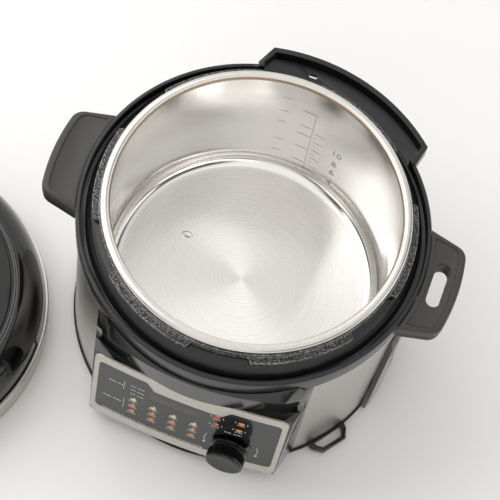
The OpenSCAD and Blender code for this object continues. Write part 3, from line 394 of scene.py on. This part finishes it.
cast_aluminium = plain_metal("cast_aluminium", "#a9abad", "#c2c4c6", 0.4, 1.5 * mm)
zinc_plate = plain_metal("zinc_plated_steel", "#b0b1b3", "#c6c7c9", 0.3, 1.0 * mm)
drawn_steel = plain_metal("drawn_chamber_steel", "#9b9a97", "#b0afac", 0.35, 12 * mm, (1, 1, 30))
plate_steel = plain_metal("pressed_lid_steel", "#c8c7c4", "#d6d5d2", 0.3, 10 * mm)
contact_brass = plain_metal("contact_brass", "#b8944c", "#cfae62", 0.3, 1.0 * mm)
# A brownish steel for the thin brown line along the rim's inner edge
brownish_rim_edge = plain_metal("brownish_rim_edge_steel", "#b7a18a", "#c6b29c", 0.3, 4 * mm)
etched_steel = plain_metal("etched_mark_steel", "#b5b1aa", "#c4c0ba", 0.5, 0.6 * mm)

frame_paint, tree, place = start_finish("silver_frame_paint", Metallic=0.3, IOR=1.5)
flakes = add(tree, "ShaderNodeTexVoronoi", {"Vector": place, "Scale": 1 / (0.5 * mm)}).outputs["Color"]
flakes = add(tree, "ShaderNodeSeparateXYZ", {"Vector": flakes}).outputs["X"]
tone = add(tree, "ShaderNodeMix", {0: flakes, 6: tint("#b8b2a9"), 7: tint("#cdc8c0")}, data_type="RGBA").outputs[2]
satin = add(tree, "ShaderNodeMapRange", {"Value": flakes, "To Min": 0.35, "To Max": 0.5}).outputs["Result"]
end_finish(frame_paint, tone, satin, flakes, 0.01 * mm)
print("metals made")

# %% [markdown]
# ## Finishes for the CAD solids
#
# Every solid of the frame gets its finish by name, also those that a modelled piece will stand for, and those deep
# inside, because the pot and the lid can be lifted off.

# %% Give every CAD node its finish
FINISHES = {
    foot_rubber: ("foot_ring",),
    base_pp: ("base_pan", "board_posts", "power_inlet", "accessory_loop", "pressure_switch"),
    zinc_plate: ("base_screws", "grip_screws", "lid_screws", "sensor_spring", "steam_screen", "ring_rack",
                 "encoder_body", "encoder_shaft", "heating_element", "valve_pipe", "float_pin"),
    shell_steel: ("outer_shell", "lid_band"),
    collar_abs: ("top_collar",),
    handle_pp: ("left_grip", "right_grip", "lid_handle"),
    handle_under_pp: ("left_grip_shell", "right_grip_shell"),
    housing_abs: ("front_housing", "inlet_cover"),
    frame_paint: ("panel_frame",),
    film_polyester: ("panel_film",),
    window_smoke: ("display_window",),
    plate_abs: ("dial_plate",),
    module_white: ("display_module", "encoder_plunger", "thermal_fuse", "slider_guide"),
    board_green: ("control_board",),
    board_tan: ("power_board",),
    knob_abs: ("dial_knob", "steam_valve"),
    cap_abs: ("dial_cap",),
    contact_brass: ("inlet_pins", "heater_terminals"),
    drawn_steel: ("heating_chamber",),
    ring_coat: ("locking_ring",),
    wool_felt: ("insulation_wrap",),
    cast_aluminium: ("heating_plate", "sensor_puck"),
    wire_red: ("inner_wires",),
    rim_steel: ("inner_pot",),
    plate_steel: ("lid_plate",),
    lid_abs: ("lid_shell",),
    seal_silicone: ("sealing_ring",),
    seal_red: ("float_gasket",),
    slider_red: ("lock_slider",),
    handle_cap_pp: ("handle_cap",),
}
for finish, names in FINISHES.items():
    for name in names:
        nodes[name].data.materials.clear()
        nodes[name].data.materials.append(finish)
left_over = set(nodes) - {name for names in FINISHES.values() for name in names}
print("finishes:", len(FINISHES), "nodes without one:", sorted(left_over))

# %% [markdown]
# ## Modelling helpers
#
# A pot, a collar or a knob is turned: its profile is drawn by extruding one vertex from point to point, and spun
# round the axis. A rib or a liner is drawn the same way, filled, and swept through part of a circle. A moulding that
# the CAD model already holds only needs its edges softened, so its mesh is copied, merged and bevelled.

# %% Drawing, spinning and softening
def start_clean():
    """Leaves edit mode and deselects everything, so that an operator acts on the new piece alone."""
    if bpy.context.object and bpy.context.object.mode != "OBJECT":
        bpy.ops.object.mode_set(mode="OBJECT")
    bpy.ops.object.select_all(action="DESELECT")


def only(piece):
    """Selects that piece alone and makes it active."""
    start_clean()
    piece.select_set(True)
    bpy.context.view_layer.objects.active = piece


def arc(x, y, r, start, end, steps):
    """Points of an arc round (x, y), from one angle to another, in degrees."""
    turns = [radians(start + (end - start) * i / steps) for i in range(steps + 1)]
    return [(x + r * cos(t), y + r * sin(t)) for t in turns]


def drawn(name, points):
    """A closed line through 3-D points, drawn by extruding one vertex, left in edit mode with all selected."""
    start_clean()
    bpy.ops.mesh.primitive_plane_add(size=1 * mm, location=points[0])
    piece = bpy.context.object
    piece.name = name
    bpy.ops.object.transform_apply(location=True)
    bpy.ops.object.mode_set(mode="EDIT")
    bpy.ops.mesh.merge(type="CENTER")
    for here, there in zip(points, points[1:] + points[:1]):
        step = Vector(there) - Vector(here)
        bpy.ops.mesh.extrude_region_move(TRANSFORM_OT_translate={"value": step})
    bpy.ops.mesh.select_all(action="SELECT")
    bpy.ops.mesh.remove_doubles(threshold=0.005 * mm)
    return piece


def turned(name, profile, steps=128):
    """A solid of revolution from a closed profile of (radius, height)."""
    piece = drawn(name, [(r, 0, z) for r, z in profile])
    bpy.ops.mesh.spin(steps=steps, angle=2 * pi, center=(0, 0, 0), axis=(0, 0, 1))
    bpy.ops.mesh.select_all(action="SELECT")
    bpy.ops.mesh.remove_doubles(threshold=0.005 * mm)
    bpy.ops.mesh.normals_make_consistent(inside=False)
    start_clean()
    return piece


def swept(name, outline, steps, turn):
    """A closed outline of (radius, height) filled and swept round the axis through that turn, anticlockwise."""
    piece = drawn(name, [(r, 0, z) for r, z in outline])
    bpy.ops.mesh.edge_face_add()
    bpy.ops.mesh.spin(steps=steps, angle=-turn, center=(0, 0, 0), axis=(0, 0, 1))
    bpy.ops.mesh.select_all(action="SELECT")
    bpy.ops.mesh.normals_make_consistent(inside=False)
    start_clean()
    return piece


def modify(piece, kind, **settings):
    """Adds a modifier with its settings and applies it."""
    only(piece)
    made = piece.modifiers.new(kind.lower(), kind)
    for key, value in settings.items():
        setattr(made, key, value)
    bpy.ops.object.modifier_apply(modifier=made.name)


def soften(piece, width, segments=3, angle=30, material=-1):
    """Rounds the edges that are sharper than the angle."""
    modify(piece, "BEVEL", width=width, segments=segments, limit_method="ANGLE", angle_limit=radians(angle),
           material=material, use_clamp_overlap=True, miter_outer="MITER_ARC" if segments > 1 else "MITER_SHARP")


def copy_of(node, name):
    """A copy of a CAD solid's mesh with its loose triangles merged into clean faces."""
    start_clean()
    piece = bpy.data.objects.new(name, nodes[node].data.copy())
    bpy.context.scene.collection.objects.link(piece)
    only(piece)
    bpy.ops.object.mode_set(mode="EDIT")
    bpy.ops.mesh.select_all(action="SELECT")
    bpy.ops.mesh.remove_doubles(threshold=0.005 * mm)
    bpy.ops.mesh.dissolve_limited(angle_limit=radians(0.5))
    start_clean()
    return piece


def pick(piece, rule, kind="faces"):
    """In edit mode, selects the faces, edges or vertices for which the rule holds."""
    mesh = bmesh.from_edit_mesh(piece.data)
    for part in [*mesh.verts, *mesh.edges, *mesh.faces]:
        part.select_set(False)
    found = [part for part in getattr(mesh, kind) if rule(part)]
    for part in found:
        part.select_set(True)
    mesh.select_flush_mode()
    bmesh.update_edit_mesh(piece.data)
    return len(found)


def done(piece, body, slot, *finishes, stands_for=(), angle=30):
    """Puts the piece's place into its mesh, smooths it, gives it its finish and hands it to its body."""
    only(piece)
    bpy.ops.object.transform_apply(location=True, rotation=True, scale=True)
    bpy.ops.object.shade_smooth_by_angle(angle=radians(angle))
    if finishes:
        indices = [face.material_index for face in piece.data.polygons]
        piece.data.materials.clear()
        for finish in finishes:
            piece.data.materials.append(finish)
        piece.data.polygons.foreach_set("material_index", [min(i, len(finishes) - 1) for i in indices])
    if stands_for:
        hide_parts(*stands_for)
    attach(piece, body)
    print(piece.name, len(piece.data.polygons), "faces")
    return piece


print("modelling helpers ready")

# %% [markdown]
# ## The pot
#
# The removable pot is spun and then polished. It is the largest thing in view, so its profile is drawn with care:
# a layered base, a round fillet that carries the light from the floor up the wall, and a rolled rim that is nearly
# flat on top. The profile is closed, so the pot has a real wall. Its faces fall into zones by place and slope, and
# each zone has its own steel.

# %% Turn the pot
pot_floor = pot_low.z + 5 * mm
pot_wall = 1.2 * mm
fillet = 12.4 * mm
rim_in = pot_r + 0.8 * mm
pot_profile = [
    (0, pot_low.z), (pot_r - fillet - 4 * mm, pot_low.z),
    *arc(pot_r + pot_wall - fillet - 4.5 * mm, pot_low.z + fillet + 4.5 * mm, fillet + 4.5 * mm, -80, 0, 10),
    (pot_r + pot_wall, rim_z - 5.7 * mm), (rim_r - 1.4 * mm, rim_z - 5.7 * mm),
    *arc(rim_r - 1.4 * mm, rim_z - 4.3 * mm, 1.4 * mm, -90, 0, 4),
    *arc(rim_r - 2.6 * mm, rim_z - 2.8 * mm, 2.6 * mm, 0, 66, 7),
    (rim_r - 3.6 * mm, rim_z - 0.12 * mm), (rim_r - 4.6 * mm, rim_z), (rim_in + 1.8 * mm, rim_z - 0.5 * mm),
    *arc(rim_in + 1.0 * mm, rim_z - 1.6 * mm, 1.0 * mm, 70, 180, 6),
    (pot_r, rim_z - 3.4 * mm), (pot_r, pot_floor + 60 * mm),
    *arc(pot_r - fillet, pot_floor + fillet, fillet, 0, -90, 18),
    (40 * mm, pot_floor), (0, pot_floor),
]
pot = turned("pot", pot_profile, steps=160)


def pot_zone(face):
    """0 satin rim and outside, 1 polished wall, 2 turned floor, 3 the tinted inner edge of the rim."""
    middle = face.calc_center_median()
    reach = middle.xy.length
    if face.normal.z > 0.93 and middle.z < pot_floor + 3 * mm:
        return 2
    if reach < pot_r + 0.05 * mm and middle.z > pot_floor:
        return 1
    if pot_r < reach < rim_in + 0.3 * mm and middle.z > rim_z - 3 * mm:
        return 3
    return 0


only(pot)
bpy.ops.object.mode_set(mode="EDIT")
for zone in (1, 2, 3):
    pick(pot, lambda face: pot_zone(face) == zone)
    while len(pot.data.materials) <= zone:
        pot.data.materials.append(None)
    pot.active_material_index = zone
    bpy.ops.object.material_slot_assign()
done(pot, "pot", "pot_steel", rim_steel, wall_steel, floor_steel, brownish_rim_edge, stands_for=["inner_pot"], angle=40)

# %% [markdown]
# ## Marks and print
#
# The pot has etched level lines with numbers, and the control face is screen printed. Both are thin films on curved
# surfaces. They are drawn flat, as planes and discs standing in the x-z plane. Then each point is laid on the curved
# surface, and Solidify gives the film its thickness. So a mark is real geometry and stays in place when it moves.

# %% Drawing flat marks and laying them on a surface
def flat_marks(name, dashes=(), dots=()):
    """Dashes are (x, z, width, height, lean in degrees), dots are (x, z, half width, half height, corners)."""
    start_clean()
    bpy.ops.object.add(type="MESH")
    piece = bpy.context.object
    piece.name = name
    bpy.ops.object.mode_set(mode="EDIT")
    for x, z, width, height, lean in dashes:
        bpy.ops.mesh.primitive_plane_add(size=mm, location=(x * mm, 0, z * mm), rotation=(pi / 2, radians(lean), 0))
        bpy.ops.transform.resize(value=(width, 1, height), orient_type="GLOBAL")
    for x, z, half_width, half_height, corners in dots:
        bpy.ops.mesh.primitive_circle_add(vertices=corners, radius=mm, fill_type="NGON",
                                          location=(x * mm, 0, z * mm), rotation=(pi / 2, 0, 0))
        bpy.ops.transform.resize(value=(half_width, 1, half_height), orient_type="GLOBAL")
    start_clean()
    return piece


def lay_on(piece, surface, thickness):
    """Moves each point of flat marks onto a curved surface, and gives the film its thickness."""
    only(piece)
    bpy.ops.object.transform_apply(location=True, rotation=True, scale=True)
    for vert in piece.data.vertices:
        vert.co = surface(vert.co.x, vert.co.z)
    modify(piece, "SOLIDIFY", thickness=thickness, offset=1)
    only(piece)
    bpy.ops.object.mode_set(mode="EDIT")
    bpy.ops.mesh.select_all(action="SELECT")
    bpy.ops.mesh.normals_make_consistent(inside=False)
    start_clean()


def on_pot_wall(x, z):
    """The point x metres along the inner wall, to the right of its back, at height z."""
    turn = pi / 2 - x / pot_r
    return (pot_r * cos(turn), pot_r * sin(turn), z)


def on_film(x, z):
    """The point of the control film at x across and z up the face."""
    return face_frame @ Vector((x, face_r - sqrt((face_r - film_depth) ** 2 - x * x), z))


print("marks can be laid on the pot wall and the film")

# %% [markdown]
# ## Level marks
#
# The marks are lightly etched: a frame line with ticks for the cups, and even numbers beside it. An etched line on
# polished steel is a little duller than the steel round it.

# %% Etch the level marks
def along(turn):
    """Millimetres along the wall for an angle in degrees round the pot."""
    return radians(90 - turn) * pot_r / mm


TICKS = [(143 - 7.0 * i, 2.4 if i % 2 else 5.2) for i in range(11)]
level_lines = [(along(82.5), 120, 0.5, 104, 0), (along(85.5), 172.6, 14, 0.5, 0), (along(78.5), 66, 12.8, 0.8, 0)]
level_lines += [(along(85.8), z, 12, 0.45, 0) for z in (148, 134, 112, 88)]
level_lines += [(along(81.4) + length, z, 2 * length, 0.45, 0) for z, length in TICKS]
unit_marks = [(along(96) + shift, z, 3.6, 0.7, lean) for z in (184, 162, 144, 113, 94, 74)
              for shift, lean in ((-2, 35), (2, -35), (0, 0))]
level_marks = flat_marks("level_marks", level_lines + unit_marks)
for text, z in (("2", 60), ("4", 78), ("6", 96), ("8", 111), ("10", 128)):
    start_clean()
    bpy.ops.object.text_add(location=(along(69.5) * mm, 0, z * mm), rotation=(pi / 2, 0, 0))
    number = bpy.context.object
    number.data.body, number.data.size, number.data.align_x = text, 11 * mm, "CENTER"
    number.data.resolution_u = 3
    bpy.ops.object.convert(target="MESH")
    bpy.ops.object.transform_apply(location=True, rotation=True, scale=True)
    level_marks.select_set(True)
    bpy.context.view_layer.objects.active = level_marks
    bpy.ops.object.join()
lay_on(level_marks, on_pot_wall, 0.12 * mm)
done(level_marks, "pot", "pot_steel", etched_steel)

# %% [markdown]
# ## The stamp in the floor
#
# A shallow oval is pressed into the pot's floor, off its centre. A low turned ring with a dished middle catches the
# light as its edge does.

# %% Press the stamp
stamp = turned("floor_stamp", [(0, 0), (2.6 * mm, 0), (3.4 * mm, 0.22 * mm), (4.2 * mm, 0.22 * mm), (5 * mm, 0),
                               (5 * mm, -0.3 * mm), (0, -0.3 * mm)], steps=48)
stamp.location = (-58 * mm, 22 * mm, pot_floor + 0.05 * mm)
stamp.scale = (1, 0.72, 1)
done(stamp, "pot", "pot_steel", rim_steel)

# %% [markdown]
# ## Softened mouldings
#
# The collar, handles, housing and covers are already the right shape in CAD, but a CAD edge is a perfect line, and
# no moulding has one. Each gets a copy with its edges rounded: 0.4 mm on small parts, more where a hand goes.

# %% Soften the collar, covers and small mouldings
SOFT_COPIES = {
    "top_collar": ("collar", "base", "collar_plastic", 0.45, 3, collar_abs),
    "inlet_cover": ("side_cover", "base", "gloss_black", 0.5, 3, housing_abs),
    "accessory_loop": ("spoon_loop", "base", "base_plastic", 0.5, 3, housing_abs),
    "panel_frame": ("panel_bezel", "base", "frame_silver", 0.35, 3, frame_paint),
    "lid_handle": ("lid_bar", "lid", "grip_plastic", 1.2, 4, handle_pp),
    "steam_valve": ("release_valve", "valve", "knob_black", 0.6, 3, knob_abs),
    "handle_cap": ("lid_bar_cap", "lid", "frame_silver", 0.3, 2, handle_cap_pp),
    "left_grip_shell": ("left_handle_shell", "base", "grip_plastic", 0.8, 3, handle_under_pp),
    "right_grip_shell": ("right_handle_shell", "base", "grip_plastic", 0.8, 3, handle_under_pp),
}
for node, (name, body, slot, width, segments, finish) in SOFT_COPIES.items():
    piece = copy_of(node, name)
    soften(piece, width * mm, segments)
    done(piece, body, slot, finish, stands_for=[node])

# %% [markdown]
# ## The side handles
#
# The handles roll over to their undersides, so the upper outer edge is rounded first, by 2.6 mm, and then everything
# else is softened by half a millimetre. The edges to round are those between the flat top and a wall that faces away
# from the handle's middle.

# %% Round the handles
def outer_top_edge(edge, middle_x):
    """An edge between the flat top and a wall that faces away from the handle's middle."""
    if len(edge.link_faces) != 2:
        return False
    up, wall = sorted(edge.link_faces, key=lambda face: -face.normal.z)
    if up.normal.z < 0.9 or abs(wall.normal.z) > 0.3:
        return False
    place = (edge.verts[0].co + edge.verts[1].co) / 2
    away = place - Vector((middle_x, 0, place.z))
    return wall.normal.dot(away) > 0 and place.xy.length > collar_r + 1 * mm


handle_middle = 157 * mm
for node, name, side in (("left_grip", "left_handle", -1), ("right_grip", "right_handle", 1)):
    handle = copy_of(node, name)
    only(handle)
    bpy.ops.object.mode_set(mode="EDIT")
    found = pick(handle, lambda edge: outer_top_edge(edge, side * handle_middle), "edges")
    bpy.ops.mesh.bevel(offset=2.6 * mm, segments=5, profile=0.5, clamp_overlap=True)
    print(name, "rounded edges:", found)
    soften(handle, 0.5 * mm, 3)
    done(handle, "base", "grip_plastic", handle_pp, stands_for=[node])

# %% [markdown]
# ## The locking ring
#
# The lid turns under this ring's six lugs. Its chamfers are painted paler than the faces, as a painted highlight on
# the edges. A bevel of one segment makes the chamfers, and gives them a second finish of their own.

# %% Chamfer the locking ring
ring = copy_of("locking_ring", "lock_ring")
ring.data.materials.append(ring_edge_highlight_coat)
# The chamfers take the paler coat, a painted highlight along the ring's edges
soften(ring, 0.55 * mm, 1, material=1)
done(ring, "base", "ring_speckled", ring_coat, ring_edge_highlight_coat, stands_for=["locking_ring"])

# %% [markdown]
# ## Pocket lines in the collar
#
# Between the ring's lugs the collar is moulded with a faint step, where the lid's lugs come down. Each step is a
# thin rib that runs round on the collar's slope, turned as a small closed profile through part of a circle.

# %% Raise the pocket lines
rib_r, rib_z = 134.2 * mm, collar_z + 0.3 * mm
rib_outline = [(rib_r + x * mm, rib_z + z * mm) for x, z in ((-0.5, -0.6), (0.6, -2.0), (0.5, -0.3), (0.05, 0.2))]
lug_count, first_lug, pocket_turn = 6, 6, 27
lug_step = 360 / lug_count
for index in range(lug_count):
    rib = swept(f"pocket_line_{index + 1}", rib_outline, 20, radians(pocket_turn))
    rib.rotation_euler.z = radians(first_lug + (lug_step - pocket_turn) / 2 + lug_step * index)
    done(rib, "base", "collar_plastic", collar_abs)

# %% [markdown]
# ## The control housing
#
# One lacquered moulding carries the control face: a satin ridge above, a hollow below the ridge that catches a long
# highlight, and two flanks that run back to the shell.

# %% Soften the housing
housing = copy_of("front_housing", "control_housing")
soften(housing, 0.8 * mm, 3, angle=25)
done(housing, "base", "gloss_black", housing_abs, stands_for=["front_housing"], angle=40)

# %% [markdown]
# Behind the hollow a curved black liner covers the steel shell. It is a thin upright strip, spun through an arc.

# %% Line the hollow
liner_r = shell_r + 0.15 * mm
liner_out = liner_r + 0.4 * mm
liner_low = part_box("panel_frame")[1].z + 1.0 * mm
liner_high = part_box("top_collar")[0].z + 0.5 * mm
liner_turn = radians(52)
liner = swept("hollow_liner", [(liner_r, liner_low), (liner_out, liner_low), (liner_out, liner_high),
                               (liner_r, liner_high)], 30, liner_turn)
liner.rotation_euler.z = -pi / 2 - liner_turn / 2
done(liner, "base", "gloss_black", housing_abs)

# %% [markdown]
# ## Print on the control face
#
# The film carries a grid of small cooking pictures with captions, two groups of captions beside fine separators, a
# row of fine print along the bottom, and two curved arrows round the dial. No word is written: each caption is a row
# of short dashes, as lettering looks from across a kitchen. Each ink is one piece.

# %% Lay out the print
def caption(x, z, count, width=1.0, height=1.5, step=1.5):
    """A word: a row of dashes, every third one lower, that starts at x."""
    return [(x + i * step + width / 2, z, width, height * (0.6 if i % 3 == 1 else 1.0), 0) for i in range(count)]


white = [(-55.8, 73.7, 0.35, 14.5, 0), (-54.3, 40.7, 0.35, 18.5, 0)]
white += caption(-69.5, 73.0, 5) + caption(-61.0, 73.4, 3) + caption(-72.8, 40.4, 5) + caption(-63.6, 41.4, 5)
for z in (79.6, 72.4, 65.0):
    white += caption(-49.5, z, 3, height=1.2) + caption(-43.5, z, 4, height=1.2)
white += [(-72 + 2.6 * i, 14.3 + (0.3 if i % 3 else 0), 1.8, 1.4 if i % 4 else 0.9, 0) for i in range(36)]
white += caption(34.6, 60.6, 4, height=1.6) + caption(42.4, 60.6, 5, height=1.6)
cream, tan_dots, orange, red = [], [], [], []
for x in (-46.0, -28.0, -10.0, 8.2):
    for z, ink in ((54.0, cream), (43.0, tan_dots), (31.5, orange)):
        ink.append((x, z, 3.0, 1.7, 24))
        ink.append((x + 0.8, z + 3.1, 1.3, 1.1, 12))
        white += caption(x - 3.8, z - 3.5, 5, width=1.15, height=1.25, step=1.65)
for x, z, ink, flame in ((26.0, 82.8, red, (0.7, 2.4, 1.6)), (26.2, 67.8, red, (0.7, 2.4, 1.6)),
                         (46.6, 84.4, orange, (-0.2, -2.3, 1.8)), (46.2, 70.2, orange, (-0.2, -2.3, 1.8))):
    ink.append((x, z, 3.0, 1.9, 14))
    cream.append((x + flame[0], z + flame[1], flame[2], 0.5, 8))
    white += [(x - 5.2, z, 0.6, 2.6, 20), (x + 5.2, z, 0.6, 2.6, -20)]
    white += caption(x - 3.2, z - 4.2, 4, width=1.15, height=1.25, step=1.7)
arrow_heads = []
for side in (-1, 1):
    for turn in range(-16, 22, 6):
        x, z = 23.2 * cos(radians(turn)), 23.2 * sin(radians(turn)) - 3.0
        white.append((dial_x / mm + side * x, dial_h / mm + z, 0.5, 2.5, -side * turn))
    arrow_heads.append((dial_x / mm + side * 22.6, dial_h / mm - 11.0, 2.0, 1.6, 3))
print("white dashes:", len(white))

# %% [markdown]
# The marks are laid a twentieth of a millimetre above the film, one piece for each ink.

# %% Print the film
PRINTS = (("print_white", white, arrow_heads, ink_white), ("print_cream", (), cream, ink_cream),
          ("print_tan", (), tan_dots, ink_tan), ("print_orange", (), orange, ink_orange),
          ("print_red", (), red, ink_red))
for name, dashes, dots, ink in PRINTS:
    inked = flat_marks(name, dashes, dots)
    lay_on(inked, on_film, 0.05 * mm)
    done(inked, "base", "film_grey", ink)

# %% [markdown]
# ## The dial
#
# The dial is a turned knob: a round foot, a neck for the fingertips, a knurled rim and a matt cap. The knurl is made
# by spinning the profile in twice as many steps as there are ridges, and drawing every other row of the rim inwards.
# The dial's own axis is Z while it is shaped, and then it is turned to stand out of the control face.

# %% Turn the dial
knob_foot = 1.6 * mm
knob_top = 18.1 * mm
ridges = 64
dial_profile = [
    (dial_r * 0.5, knob_foot), (dial_r - 1.0 * mm, knob_foot), (dial_r - 0.5 * mm, knob_foot + 0.5 * mm),
    (dial_r - 0.5 * mm, knob_foot + 2.0 * mm), (dial_r - 0.9 * mm, knob_foot + 2.5 * mm),
    (dial_r - 2.7 * mm, knob_foot + 3.2 * mm), (dial_r - 2.9 * mm, knob_foot + 4.2 * mm),
    (dial_r - 2.6 * mm, knob_foot + 5.4 * mm), (dial_r - 0.9 * mm, knob_foot + 6.8 * mm),
    (dial_r - 0.3 * mm, knob_foot + 7.6 * mm), (dial_r - 0.25 * mm, knob_top - 3.2 * mm),
    (dial_r - 0.5 * mm, knob_top - 2.6 * mm), (dial_r - 0.5 * mm, knob_top - 1.2 * mm),
    (dial_r - 1.0 * mm, knob_top - 0.4 * mm), (dial_r - 2.0 * mm, knob_top),
    (dial_r - 3.0 * mm, knob_top - 0.1 * mm), (dial_r - 3.0 * mm, knob_top - 1.6 * mm),
    (dial_r * 0.5, knob_top - 1.6 * mm),
]
dial_body = turned("dial_body", dial_profile, steps=2 * ridges)
low_rim, high_rim = knob_foot + 7.5 * mm, knob_top - 3.1 * mm
for vert in dial_body.data.vertices:
    row = round(Vector((1, 0)).angle_signed(vert.co.xy) / pi * ridges)
    if vert.co.xy.length > dial_r - 0.35 * mm and low_rim < vert.co.z < high_rim and row % 2:
        vert.co.xy *= 1 - 0.9 * mm / dial_r
dial_body.matrix_world = dial_frame
done(dial_body, "dial", "knob_black", knob_abs, stands_for=["dial_knob"])

cap_r = dial_r - 3.0 * mm
dial_face = turned("dial_face", [
    (0, knob_top - 1.5 * mm), (cap_r, knob_top - 1.5 * mm), (cap_r, knob_top - 0.2 * mm),
    (cap_r - 0.3 * mm, knob_top + 0.1 * mm), (cap_r - 0.8 * mm, knob_top), (cap_r * 0.5, knob_top - 0.2 * mm),
    (0, knob_top - 0.25 * mm)], steps=96)
dial_face.matrix_world = dial_frame
done(dial_face, "dial", "cap_grey", cap_abs, stands_for=["dial_cap"])

# %% [markdown]
# ## The lid's dome
#
# The dome is a glossy moulding: a flat crown, a double groove near its edge, and a shoulder that rolls over to a
# steep band. It is turned again with more points than the CAD solid has, so that reflections run smoothly over the
# shoulder. Boolean cuts make the openings for the valve, the float and the two screws, and the recess in the band.

# %% Turn the dome
lid_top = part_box("lid_shell")[1].z
band_top = lid_high.z
lid_r = (lid_high.x - lid_low.x) / 2
groove_r = 113 * mm
shoulder = lid_r - 2.6 * mm
edge_top = lid_top - 6 * mm
dome_profile = [
    (lid_r - 8.5 * mm, band_top - 7 * mm), (shoulder, band_top - 7 * mm), (shoulder, band_top + 2 * mm),
    (shoulder - 0.7 * mm, band_top + 8 * mm), (shoulder - 2.2 * mm, band_top + 15 * mm),
    (shoulder - 4.8 * mm, band_top + 22 * mm), (shoulder - 8.2 * mm, band_top + 28 * mm),
    (shoulder - 12.2 * mm, band_top + 32.5 * mm), (shoulder - 17 * mm, band_top + 35.6 * mm),
    (groove_r + 5 * mm, edge_top), (groove_r + 3.4 * mm, edge_top),
    (groove_r + 2.8 * mm, edge_top - 1.2 * mm), (groove_r + 1.4 * mm, edge_top - 1.3 * mm),
    (groove_r + 0.8 * mm, edge_top - 0.1 * mm), (groove_r - 0.8 * mm, edge_top - 0.1 * mm),
    (groove_r - 1.4 * mm, edge_top - 1.3 * mm), (groove_r - 2.8 * mm, edge_top - 1.2 * mm),
    (groove_r - 3.6 * mm, edge_top + 0.4 * mm), (groove_r - 12 * mm, edge_top + 1.5 * mm),
    (85 * mm, edge_top + 3.3 * mm), (60 * mm, lid_top - 1.1 * mm), (30 * mm, lid_top - 0.25 * mm), (0, lid_top),
    (0, lid_top - 2.4 * mm), (groove_r - 6 * mm, edge_top - 4.4 * mm), (shoulder - 20 * mm, edge_top - 6 * mm),
    (shoulder - 12 * mm, lid_top - 20 * mm), (shoulder - 5.5 * mm, band_top + 14 * mm),
    (lid_r - 8.5 * mm, band_top - 2 * mm),
]
dome = turned("lid_dome", dome_profile, steps=180)
CUTS = ((84, 0, 14.2), (84, 26, 5.4), (48, 0, 3.3), (-48, 0, 3.3))
cutters = []
for x, y, radius in CUTS:
    start_clean()
    bpy.ops.mesh.primitive_cylinder_add(vertices=48, radius=radius * mm, depth=0.2,
                                        location=(x * mm, y * mm, lid_top))
    cutters.append(bpy.context.object)
recess = swept("recess_cutter", [(shoulder + x * mm, band_top + z * mm)
                                 for x, z in ((-0.9, 1.5), (5, 1.5), (5, 15), (-3.8, 15))], 42, -radians(42))
recess.rotation_euler.z = radians(72)
cutters.append(recess)
for cutter in cutters:
    modify(dome, "BOOLEAN", object=cutter, operation="DIFFERENCE", solver="EXACT")
    bpy.data.objects.remove(cutter)
dome.location = lid_at
dome.rotation_euler.z = lid_turn
done(dome, "lid", "gloss_black", lid_abs, stands_for=["lid_shell"], angle=40)

# %% [markdown]
# ## The two boxes
#
# The last print gives how far the looks grow past the CAD box, in millimetres.

# %% Write the two boxes and finish
visual_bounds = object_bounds()
grown = [[round((v - c) / mm, 2) for v, c in zip(a, b)] for a, b in zip(visual_bounds, cad_bounds)]
print("grown by", grown, "mm")
